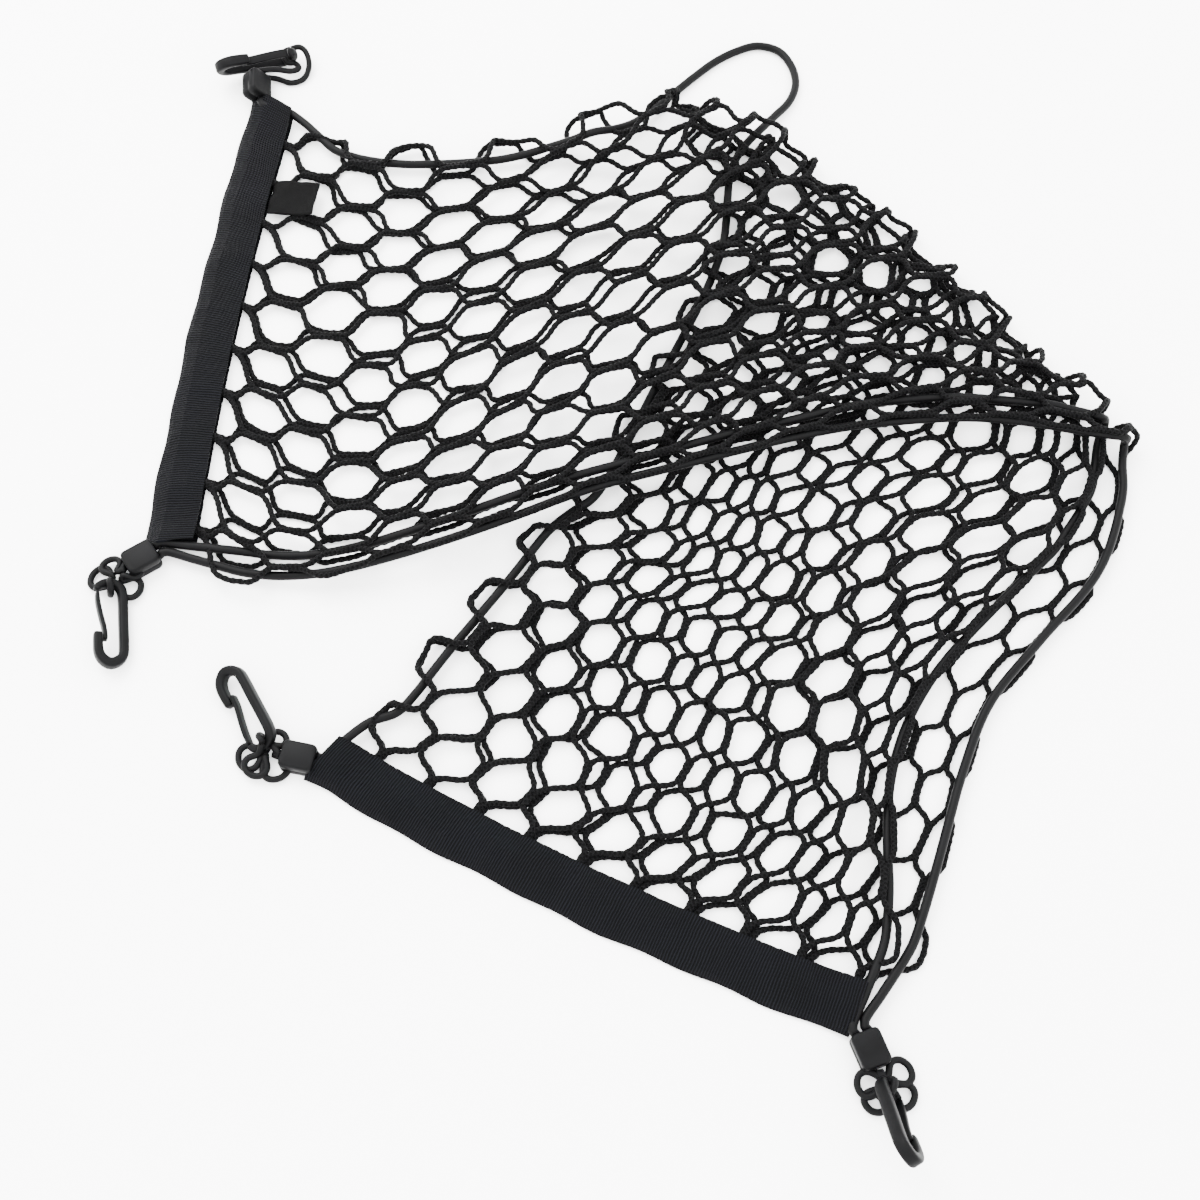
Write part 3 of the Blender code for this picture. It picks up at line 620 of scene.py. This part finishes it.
def strand_route(first_column):
    """One strand in the laid-open net: it goes to and fro between two columns, and runs
    beside its neighbour along every joint. Gives along, across and the height's offset."""
    route = []
    for row in range(CELL_ROWS + 1):
        at_first = (row + first_column) % 2 == 1
        column = first_column if at_first else first_column + 1
        side = 1 if at_first else -1
        low = -HEADER_DEPTH + row * 1.5 * EDGE
        for share in JOINT_STOPS:
            turn = share * 2 * math.pi
            route.append((low + share * EDGE,
                          column * PITCH + side * SIDE_BY_SIDE * (0.75 + 0.25 * math.cos(turn)),
                          side * TWIST_HEIGHT * math.sin(turn)))
        if row < CELL_ROWS:
            after = column + side
            for share in LINK_STOPS:
                route.append((low + EDGE + share * EDGE / 2,
                              lerp(column, after, share) * PITCH, 0.0))
    return route


def edge_bulge(along, across):
    """How the outer meshes stand out past the closed edge's cord, in the net's plane."""
    closed = 1 - smooth(*BULGE_ACROSS, abs(across))
    shown = (smooth(*BULGE_BY_BAND, band_distance(along))
             * smooth(*BULGE_BY_FOLD, abs(along - FOLD_AT_CLOSED)))
    if closed * shown == 0:
        return Vector((0, 0))
    arm = 0 if along < FOLD_AT_CLOSED else 1
    part = (along / FOLD_AT_CLOSED if arm == 0
            else (along - FOLD_AT_CLOSED) / (NET_LENGTH - FOLD_AT_CLOSED))
    edge = CLOSED[arm].heading(lerp(0.02, 0.98, part))
    outward = Vector((-edge.y, edge.x)) if arm == 0 else Vector((edge.y, -edge.x))
    wave = 0.5 + 0.5 * noise.noise(Vector((along / BULGE_SPACING, 0.3, 5.0)))
    return outward * closed * shown * (BULGE_LEAST + BULGE_MOST[arm] * max(0.0, wave - 0.2))


def strand_points(first_column):
    """A strand's middle line on the lying net, evenly sampled."""
    lying = []
    for along, across, height in strand_route(first_column):
        place_along, place_across = drifted(along, across)
        spot = surface(place_along, place_across)
        bulge = edge_bulge(place_along, place_across)
        lying.append(Vector((spot.x + bulge.x, spot.y + bulge.y, spot.z + height)))
    course = Course(lying)
    count = round(course.length / STRAND_STEP)
    spots = [course.at(index / count) for index in range(count + 1)]
    return [(spot.x, spot.y, max(spot.z, STRAND_LOWEST)) for spot in spots]


def build_netting(finish):
    """Both panels, each as strips of a few strands."""
    pieces = []
    for panel, first in (("front", 0), ("back", -2 * CELLS_ACROSS)):
        for strip in range(STRIPS):
            low = first + strip * STRIP
            lines = [strand_points(column) for column in range(low, low + STRIP)]
            name = f"net_{panel}_strip_{strip + 1}"
            pieces.append(add_tubes(name, lines, STRAND / 2, STRAND_SIDES, finish, False,
                                    PLAIT_HEIGHT))
    return pieces


# ---------------------------------------------------------------- bands

BAND_TOP = 2 * PLY + BAND_INSIDE
BAND_PROFILE = (
    # across from the open edge towards the fold, height, share of the wave, of the swelling;
    # from the lower open edge round the fold to the upper one, and back inside
    (0, 0.1, 0, 0), (-9, 0.05, 0, 0), (-20, 0.05, 0, 0), (-25.6, 0.15, 0, 0),
    (-27, 1.5, 0, 0.3), (-24, 3.3, 1, 0.7), (-18, BAND_TOP - 0.6, 1, 1), (-9, BAND_TOP, 1, 1),
    (0, BAND_TOP, 0, 1), (0, BAND_TOP - PLY, 0, 1), (-9, BAND_TOP - PLY, 1, 1),
    (-18, BAND_TOP - PLY - 0.7, 1, 1), (-23.6, 2.3, 0, 0.6), (-24.6, 1.6, 0, 0.3),
    (-22, 1.15, 0, 0), (-9, 1.15, 0, 0), (0, PLY, 0, 0),
)
BAND_RINGS = 260
BAND_SWELL = 2.9
SWELL_AT_START = (0.0, 0.10)
SWELL_AT_END = (0.92, 1.0)
CUT_AT_START = (0.0, 0.02)
CUT_AT_END = (0.98, 1.0)
WAVES = 22
# The wave of a band's folded edge, in plan: size, rate and start of each part.
RIPPLES = ((0.5, 1.9, 0.0), (0.4, 0.83, 1.0))
# Unevenness of the upper ply: size and spacing along and across of folds, creases and grain.
FOLDS = (0.9, 13, 14)
CREASES = (0.5, 40, 6)
GRAIN = (0.2, 150, 3)
BANDS = (
    # node, arm, direction into the net, share of the panel's width where each end lies, at
    # the open edge and at the fold
    ("band_left", 0, INTO_LEFT, (-0.038, -0.085), (1.012, 1.03)),
    ("band_front", 1, INTO_FRONT, (-0.032, -0.052), (0.995, 1.005)),
)


def build_band(node, arm, into, firsts, lasts, finish):
    """A folded strip of webbing, with cut ends that swell over the cords."""
    bow = (BOW_LEFT, BOW_FRONT)[arm]
    start, end = CLOSED[arm].at(arm), BACK[arm].at(arm)
    rings = []
    for index in range(BAND_RINGS + 1):
        part = index / BAND_RINGS
        step = part * WAVES
        ripple = sum(size * math.sin(step * rate + begin) for size, rate, begin in RIPPLES)
        wave = 0.35 + 0.35 * math.sin(step * 2.3 + 0.5)
        swell = BAND_SWELL * (1 - smooth(*SWELL_AT_START, part) * (1 - smooth(*SWELL_AT_END, part)))
        cut = (1 - smooth(*CUT_AT_START, part)) - smooth(*CUT_AT_END, part)
        ring = []
        for x, z, waving, swelling in BAND_PROFILE:
            reach = -x / BAND_WIDTH
            share = lerp(lerp(*firsts, reach), lerp(*lasts, reach), part)
            share += 0.004 * cut * noise.noise(Vector((reach * 9, z, 2.0 + arm)))
            middle = 4 * clamp(share) * (1 - clamp(share))
            plan = start.lerp(end, share) - into * bow * middle
            crease = noise.noise(Vector((part * CREASES[1], x / CREASES[2], 7.0 + arm)))
            fine = noise.noise(Vector((part * GRAIN[1], x / GRAIN[2], 17.0 + arm)))
            edge = 0.35 * fine * smooth(-3, 0, x)
            spot = plan + into * (x + ripple * reach + edge)
            fold = noise.noise(Vector((part * FOLDS[1] + x / 40, x / FOLDS[2], 27.0 + arm)))
            rough = FOLDS[0] * fold + CREASES[0] * crease + GRAIN[0] * fine
            height = z + wave * waving + swell * swelling + rough * smooth(0.2, 2.5, z)
            ring.append((spot.x, spot.y, max(0.03, height)))
        rings.append((part * PANEL_WIDTH, ring))
    count = len(rings[0][1])
    profile = [0.0]
    for a, b in zip(BAND_PROFILE, BAND_PROFILE[1:]):
        profile.append(profile[-1] + math.dist(a[:2], b[:2]))
    profile.append(profile[-1] + PLY)
    points = [point for _length, ring in rings for point in ring]
    faces, uvs = [tuple(reversed(range(count)))], [(0.0, 0.0)] * count
    for index in range(BAND_RINGS):
        low, high = rings[index][0] / 10, rings[index + 1][0] / 10
        for k in range(count):
            after = (k + 1) % count
            faces.append((index * count + k, index * count + after,
                          (index + 1) * count + after, (index + 1) * count + k))
            uvs.extend(((low, profile[k] / 10), (low, profile[k + 1] / 10),
                        (high, profile[k + 1] / 10), (high, profile[k] / 10)))
    faces.append(tuple(BAND_RINGS * count + k for k in range(count)))
    uvs.extend([(0.0, 0.0)] * count)
    obj = add_mesh(node + "_webbing", points, faces, finish, uvs)
    face_outwards(obj)
    obj.data.set_sharp_from_angle(angle=math.radians(50))
    return obj


# ---------------------------------------------------------------- edge cords

def cord_height(plan, part, level):
    raised = lerp(lift(plan), CORD_GAP + PANEL_GAP, smooth(*AT_FOLD, part))
    return BASE + CORD_GAP / 2 + level * raised


def resample(points, count):
    course = Course(points)
    return [course.at(step / (count - 1)) for step in range(count)]


def threaded(course, start, end, level, step=13.0):
    """Points of a cord that runs between the panels along one edge."""
    count = max(2, round((end - start) * course.length / step))
    parts = [lerp(start, end, index / count) for index in range(count + 1)]
    spots = [course.at(part) for part in parts]
    return [(spot.x, spot.y, cord_height(spot, part, level)) for spot, part in zip(spots, parts)]


def block_face(corner, side, forward):
    """A place on the block's rear face, side mm to the left of its middle."""
    aim = heading(corner["aim"])
    left = Vector((-aim.y, aim.x))
    return Vector(corner["block"]) + aim * forward + left * side


REAR = -BLOCK[0] / 2 - CLEAR
CORD_POINTS = 66
CORD_RINGS = 320
CORD_SIDES = 16
CLOSED_LOOP = (
    # x, y, z of the slack loop beyond the fold
    (-5, 258, 8.6), (7, 269, 6.0), (20, 283, 3.6), (37, 301, 2.7), (54, 316, 2.5),
    (72, 325, 2.5), (85, 325, 2.5), (95, 315, 2.5), (99, 299, 2.5), (96, 285, 2.7),
    (86, 271, 4.2), (75, 257, 6.2), (64, 243, 6.0), (57, 226, 5.6),
)


def with_ends(start_corner, start_side, middle, end_corner, end_side, count):
    """A cord's points, with a straight end into each of two blocks."""
    made = []
    for corner, side in ((start_corner, start_side), (end_corner, end_side)):
        aim = heading(corner["aim"])
        face = block_face(corner, side, REAR)
        made.append([(face.x - aim.x * back, face.y - aim.y * back, corner["high"])
                     for back in (0, 5)])
    first, last = made[0], made[1][::-1]
    route = resample([first[1], *middle, last[0]], count - 2)
    return [first[0], *route, last[1]]


def closed_cord_points():
    return with_ends(CORNERS[0], -3.0, [
        (-204, 270, 5.3),
        *threaded(CLOSED[0], 0.15, 0.79, 1),
        *CLOSED_LOOP,
        *threaded(CLOSED[1], 0.17, 0.95, 0),
        (-137, -120, 5.5), (-149, -130, 5.5),
    ], CORNERS[2], -3.0, CORD_POINTS)


def corner_turn(share):
    """Round the diagonal fold between the panels, share of the way to the front panel's edge."""
    made = []
    for step in range(1, 8):
        turn = lerp(-1, 1, step / 8) * math.pi / 2
        front = surface(FOLD_AT_FRONT + turn * (CORD_GAP + PANEL_GAP / 2), PANEL_WIDTH)
        back = surface(FOLD_AT_BACK + turn * PANEL_GAP / 2, -PANEL_WIDTH)
        inward = FOLD_OUTWARD * CORD_GAP / 2 * math.cos(turn)
        spot = (back.xy + inward).lerp(front.xy - inward, share)
        made.append((spot.x, spot.y, (front.z + back.z) / 2))
    return made


def open_cord_points(courses, share, side):
    first, second = courses
    return with_ends(CORNERS[1], side, [
        *threaded(first, 0.06, 0.95, 1),
        *corner_turn(share),
        *threaded(second, 0.06, 0.95, 0),
    ], CORNERS[3], side, CORD_POINTS)


def build_cords(finish):
    routes = {
        "edge_cord_closed": closed_cord_points(),
        "edge_cord_outer": open_cord_points(FRONT, 1.0, 3.1),
        "edge_cord_inner": open_cord_points(BACK, 0.0, -3.1),
    }
    pieces = []
    for node, route in routes.items():
        line = resample(route, CORD_RINGS)
        piece = add_tubes(node + "_smooth", [line], ELASTIC / 2, CORD_SIDES, finish)
        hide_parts(node)
        pieces.append(piece)
    return pieces


# ---------------------------------------------------------------- corners

HOOK_PATH = (
    # along the hook, across it, bar width, bar thickness
    (29, 6.6, 4.2, 5.6), (34, 6.6, 4.6, 6.2), (40, 6.3, 4.8, 6.4), (44, 4.4, 5.0, 6.4),
    (46.3, 0.8, 5.2, 6.4), (45.2, -3.0, 5.2, 6.4), (42, -5.8, 5.0, 6.4), (37, -6.5, 4.8, 6.4),
    (23, -6.5, 4.8, 6.4), (9, -6.5, 4.8, 6.2), (3.6, -5.6, 4.8, 5.6), (1.0, -3.0, 4.8, 5.0),
    (0.4, 0.0, 4.6, 4.6), (1.0, 3.4, 4.4, 4.6), (2.8, 6.2, 3.8, 4.8), (5.0, 6.6, 3.2, 4.8),
)
GATE_PATH = (
    # along the hook, across it, thickness; it starts on the hinge axis, at its thin root
    (5.35, 6.6, 1.0), (7.5, 6.52, 1.8), (12, 6.2, 2.2), (19, 5.0, 2.2), (27, 3.3, 2.2),
    (33.5, 2.8, 2.2),
)
LOOP_AT_BAR = (
    # x, y, z in the hook's frame: over the bar, through the window and back under it
    (1.0, -1.4, 4.7), (4.9, -1.0, 3.6), (6.3, -0.4, 0.0), (5.1, 0.3, -3.9), (1.2, 0.9, -5.1),
)
GATE_WIDE = 5.0
# Rings along the moulded bars, and their round corners as a share of the thinner side.
HOOK_RINGS, HOOK_ROUND = 64, 0.3
GATE_RINGS, GATE_ROUND = 24, 0.28
LOOP_RINGS = 180
LOOP_SIDES = 14
LOBE = (
    # out, across and up, as shares of a lobe's length
    (0.1, 0.14, 0.6), (0.5, 0.46, 0.0), (0.85, 0.38, -0.6), (1.0, 0.0, -0.8), (0.85, -0.38, -0.4),
    (0.5, -0.46, 0.2), (0.1, -0.14, 0.9),
)
KNOTS = {
    # by the corner's number: x, y, z where each lobe starts, its heading and length, for the
    # lobes from the hook's bar to the block and for those back to the bar
    2: (((-276, -41, 3.2, 155, 13.0), (-275, -37, 4.8, 118, 10.5)),
        ((-272, -37, 5.2, 30, 11.0), (-273, -41, 3.4, -20, 12.0))),
    3: (((-189, -134.5, 3.0, 203, 13.5), (-186, -132, 5.0, 40, 9.0)),
        ((-186.5, -136, 3.2, -62, 14.0), (-189, -136, 4.6, -116, 12.5))),
    4: (((113.5, -297, 3.8, 35, 12.5), (114.5, -299, 2.8, -38, 12.5)),
        ((111, -297, 4.2, 190, 12.0), (111, -300, 2.6, -122, 11.5))),
}
LONG_LOOP = (
    # x, y, z of the first corner's loop, from below the hook's bar by the block and back
    (-203.2, 304.8, 6.5), (-208.0, 301.6, 7.5), (-217.0, 301.2, 9.5), (-226.0, 299.6, 10.0),
    (-229.5, 299.5, 7.5), (-226.0, 299.6, 4.5), (-217.0, 300.2, 2.6), (-208.0, 297.6, 1.8),
    (-200.5, 300.5, 2.2), (-197.5, 308.0, 4.5), (-199.2, 316.0, 7.2), (-203.5, 319.8, 8.3),
)


def round_section(width, thick, corner):
    """A rectangle with round corners across a moulded bar."""
    points = []
    for quarter, (x, y) in enumerate(((1, 1), (-1, 1), (-1, -1), (1, -1))):
        middle = Vector((x * (width / 2 - corner), y * (thick / 2 - corner)))
        for step in range(4):
            spot = middle + heading(quarter * 90 + step * 30) * corner
            points.append((spot.x, spot.y))
    return points


def moulded_bar(path, pieces, corner_share):
    """Rings of points of a bar with round ends along a flat path (x, y, width, thickness)."""
    course = Course(path)
    ends = ((0.0, 0.55), (0.25, 0.84), (0.6, 0.97))
    stops = [(depth / course.length, size) for depth, size in ends]
    stops += [(index / pieces, 1.0) for index in range(1, pieces)]
    stops += [(1 - depth / course.length, size) for depth, size in reversed(ends)]
    rings = []
    for share, size in stops:
        here = course.at(share)
        run = (course.at(share + 0.004) - course.at(share - 0.004)).xy.normalized()
        side = Vector((-run.y, run.x))
        width, thick = here.z * size, here.w * size
        corner = corner_share * min(width, thick)
        rings.append([(here.x + side.x * across, here.y + side.y * across, up)
                      for across, up in round_section(width, thick, corner)])
    return rings


def skin(rings):
    """Points and faces of a closed solid from rings of equal size."""
    count = len(rings[0])
    points = [point for ring in rings for point in ring]
    faces = [tuple(reversed(range(count)))]
    for index in range(len(rings) - 1):
        for k in range(count):
            after = (k + 1) % count
            faces.append((index * count + k, index * count + after,
                          (index + 1) * count + after, (index + 1) * count + k))
    faces.append(tuple((len(rings) - 1) * count + k for k in range(count)))
    return points, faces


def hook_frame(corner):
    """The hook's own frame in the world, set down on the floor."""
    x, y = corner["root"]
    turn = Matrix.Rotation(math.radians(corner["heading"]), 4, "Z")
    pitch = Matrix.Rotation(math.radians(-corner["pitch"]), 4, "Y")
    roll = Matrix.Rotation(math.radians(corner["roll"]), 4, "X")
    return Matrix.Translation((x, y, 0)) @ turn @ pitch @ roll


def node_floor(number):
    """The lowest height of a hook's body in the frame, in millimetres."""
    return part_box(f"hook_body_{number}")[0].z / MM


def lobes(table):
    """Points of a cord that goes out and back round each round lobe of a knot."""
    made = []
    for x, y, z, aim, size in table:
        out = heading(aim)
        side = Vector((-out.y, out.x))
        for forward, across, rise in LOBE:
            spot = Vector((x, y)) + (out * forward + side * across) * size
            made.append(Vector((spot.x, spot.y, z + rise)))
    return made


def loop_points(number, corner, hook):
    """The loop's course: round the hook's bar, then through the knot's lobes to the block and
    back. The first corner's loop has no knot and follows its own table."""
    at_bar = [hook @ Vector(point) for point in LOOP_AT_BAR]
    if number not in KNOTS:
        return [*at_bar, *[Vector(point) for point in LONG_LOOP]]
    ahead = BLOCK[0] / 2 + CLEAR + LOOP_CORD / 2
    front = Vector(corner["block"]) + heading(corner["aim"]) * ahead
    seat = Vector((front.x, front.y, corner["high"]))
    first, second = KNOTS[number]
    return [*at_bar, *lobes(first), seat, *lobes(second)]


BLOCK_ROUND = 2.6
BLOCK_INSET = 12
BLOCK_LEVELS = (
    # height as a share of the block's from its middle, size as a share of the block's
    (-0.5, 0.80), (-0.48, 0.90), (-0.42, 0.97), (-0.34, 1.0), (-0.05, 1.0), (-0.03, 0.975),
    (0.03, 0.975), (0.05, 1.0), (0.34, 1.0), (0.42, 0.97), (0.48, 0.90), (0.5, 0.80),
)


def build_block(number, corner, finish):
    """A moulded block with soft edges and the groove where its halves close."""
    length, width, height = BLOCK_SHOWN
    x, y = corner["block"]
    turn = Matrix.Rotation(math.radians(corner["aim"]), 4, "Z")
    roll = Matrix.Rotation(math.radians(corner["tilt"]), 4, "X")
    place = Matrix.Translation((x, y, corner["high"])) @ turn @ roll
    rings = []
    for level, size in BLOCK_LEVELS:
        inset = (1 - size) * BLOCK_INSET
        ring = round_section(length - inset, width - inset, BLOCK_ROUND)
        rings.append([place @ Vector((px, py, level * height)) for px, py in ring])
    points, faces = skin(rings)
    sunk = FLOOR_LIFT - min(point.z for point in points)
    points = [point + Vector((0, 0, max(0, sunk))) for point in points]
    obj = add_mesh(f"end_block_{number}_moulded", points, faces, finish)
    obj.data.set_sharp_from_angle(angle=math.radians(55))
    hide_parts(f"end_block_{number}")
    return obj


def build_corner(number, corner, plastic, cord):
    pieces = [build_block(number, corner, plastic)]
    hook = hook_frame(corner)
    rings = moulded_bar(HOOK_PATH, HOOK_RINGS, HOOK_ROUND)
    lowest = min((hook @ Vector(point)).z for ring in rings for point in ring)
    hook = Matrix.Translation((0, 0, node_floor(number) - lowest)) @ hook
    points, faces = skin([[hook @ Vector(point) for point in ring] for ring in rings])
    body = add_mesh(f"hook_body_{number}_moulded", points, faces, plastic)
    body.data.set_sharp_from_angle(angle=math.radians(40))
    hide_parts(f"hook_body_{number}")
    pieces.append(body)
    path = [(x, y, thick, GATE_WIDE) for x, y, thick in GATE_PATH]
    rings = moulded_bar(path, GATE_RINGS, GATE_ROUND)
    points, faces = skin([[hook @ Vector(point) for point in ring] for ring in rings])
    gate = add_mesh(f"hook_gate_{number}_moulded", points, faces, plastic)
    gate.data.set_sharp_from_angle(angle=math.radians(40))
    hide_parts(f"hook_gate_{number}")
    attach(gate, f"gate_{number}")
    course = Course(loop_points(number, corner, hook), closed=True)
    ring = [course.at(step / LOOP_RINGS) for step in range(LOOP_RINGS)]
    line = [(spot.x, spot.y, max(spot.z, LOOP_SHOWN / 2 + FLOOR_LIFT)) for spot in ring]
    loop = add_tubes(f"hook_loop_{number}_knot", [line], LOOP_SHOWN / 2, LOOP_SIDES, cord,
                     closed=True)
    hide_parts(f"hook_loop_{number}")
    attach(loop, "root")
    for piece in pieces:
        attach(piece, "root")


# ---------------------------------------------------------------- label

LABEL_SIZE = (27.6, 23.6)
LABEL_MIDDLE = Vector((-199.0, 206.6))
LABEL_HEIGHT = 7.2
LABEL_SLOPE = math.tan(math.radians(8.5))
LABEL_THICK = 0.7
LABEL_CURL = 0.7
LABEL_STEPS = 14


def build_label(finish):
    """A small blank tape label, a little curled."""
    across, steps = heading(-8), LABEL_STEPS
    down = Vector((across.y, -across.x))
    points, faces, uvs = [], [], []
    for side in (0, 1):
        for i in range(steps + 1):
            for j in range(steps + 1):
                x, y = (i / steps - 0.5) * LABEL_SIZE[0], (j / steps - 0.5) * LABEL_SIZE[1]
                spot = LABEL_MIDDLE + across * x + down * y
                curl = math.sin(i / steps * 5 + j / steps * 2) + noise.noise(Vector((x, y, 4)) / 7)
                height = LABEL_HEIGHT + x * LABEL_SLOPE + curl * LABEL_CURL
                spot += across * 0.9 * noise.noise(Vector((y / 6, 2.0, x / 30)))
                points.append((spot.x, spot.y, height + (side - 0.5) * LABEL_THICK))
    size = steps + 1
    for side in (0, 1):
        for i in range(steps):
            for j in range(steps):
                a = side * size * size + i * size + j
                quad = (a, a + size, a + size + 1, a + 1)
                faces.append(quad if side else quad[::-1])
    rim = ([(i, 0) for i in range(steps)] + [(steps, j) for j in range(steps)]
           + [(i, steps) for i in range(steps, 0, -1)] + [(0, j) for j in range(steps, 0, -1)])
    for (i, j), (k, m) in zip(rim, rim[1:] + rim[:1]):
        a, b = i * size + j, k * size + m
        faces.append((a, b, b + size * size, a + size * size))
    for face in faces:
        for vert in face:
            flat = vert % (size * size)
            uvs.append((flat // size / steps * LABEL_SIZE[0] / 10,
                        flat % size / steps * LABEL_SIZE[1] / 10))
    obj = add_mesh("label_tape", points, faces, finish, uvs)
    face_outwards(obj)
    return obj


# ---------------------------------------------------------------- stage

FLOOR_REACH = 4
STUDIO_LIGHT = 8.5
LAMPS = (
    # name, place in metres, size, watts
    ("key", (-0.9, 1.1, 1.7), 1.4, 140),
    ("fill", (1.2, -0.9, 1.6), 1.8, 40),
)
CAMERA_PLACE = (-20, -436, 830)
CAMERA_TILT = 25
SENSOR = 36
LENS = 52.26


def build_stage():
    reach = FLOOR_REACH
    mesh = bpy.data.meshes.new("floor")
    mesh.from_pydata([(-reach, -reach, 0), (reach, -reach, 0), (reach, reach, 0),
                      (-reach, reach, 0)], [], [(0, 1, 2, 3)])
    floor = bpy.data.objects.new("floor", mesh)
    bpy.context.scene.collection.objects.link(floor)
    mesh.materials.append(floor_material())

    world = bpy.data.worlds.new("studio")
    bpy.context.scene.world = world
    world.use_nodes = True
    background = world.node_tree.nodes["Background"]
    background.inputs["Color"].default_value = (1, 1, 1, 1)
    background.inputs["Strength"].default_value = STUDIO_LIGHT

    for name, place, size, watts in LAMPS:
        lamp = bpy.data.lights.new(name, "AREA")
        lamp.energy = watts
        lamp.size = size
        obj = bpy.data.objects.new(name, lamp)
        bpy.context.scene.collection.objects.link(obj)
        obj.location = place
        obj.rotation_euler = (-Vector(place)).to_track_quat("-Z", "Y").to_euler()


def build_camera():
    """The photograph's view: 65 degrees down, looking along +Y."""
    camera = bpy.data.cameras.new("camera")
    camera.sensor_width = SENSOR
    camera.lens = LENS
    obj = bpy.data.objects.new("camera", camera)
    bpy.context.scene.collection.objects.link(obj)
    obj.location = placed(CAMERA_PLACE)
    obj.rotation_euler = (math.radians(CAMERA_TILT), 0, 0)
    bpy.context.scene.camera = obj


def main():
    braid = braid_material()
    elastic = elastic_material()
    webbing = webbing_material()
    plastic = plastic_material()
    tape = tape_material()
    build_camera()
    build_stage()
    for piece in build_netting(braid):
        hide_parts("net")
        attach(piece, "root")
    for piece in build_cords(elastic):
        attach(piece, "root")
    for node, arm, into, firsts, lasts in BANDS:
        band = build_band(node, arm, into, firsts, lasts, webbing)
        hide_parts(node)
        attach(band, "root")
    for number, corner in enumerate(CORNERS, start=1):
        build_corner(number, corner, plastic, elastic)
    label = build_label(tape)
    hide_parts("label")
    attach(label, "root")


main()
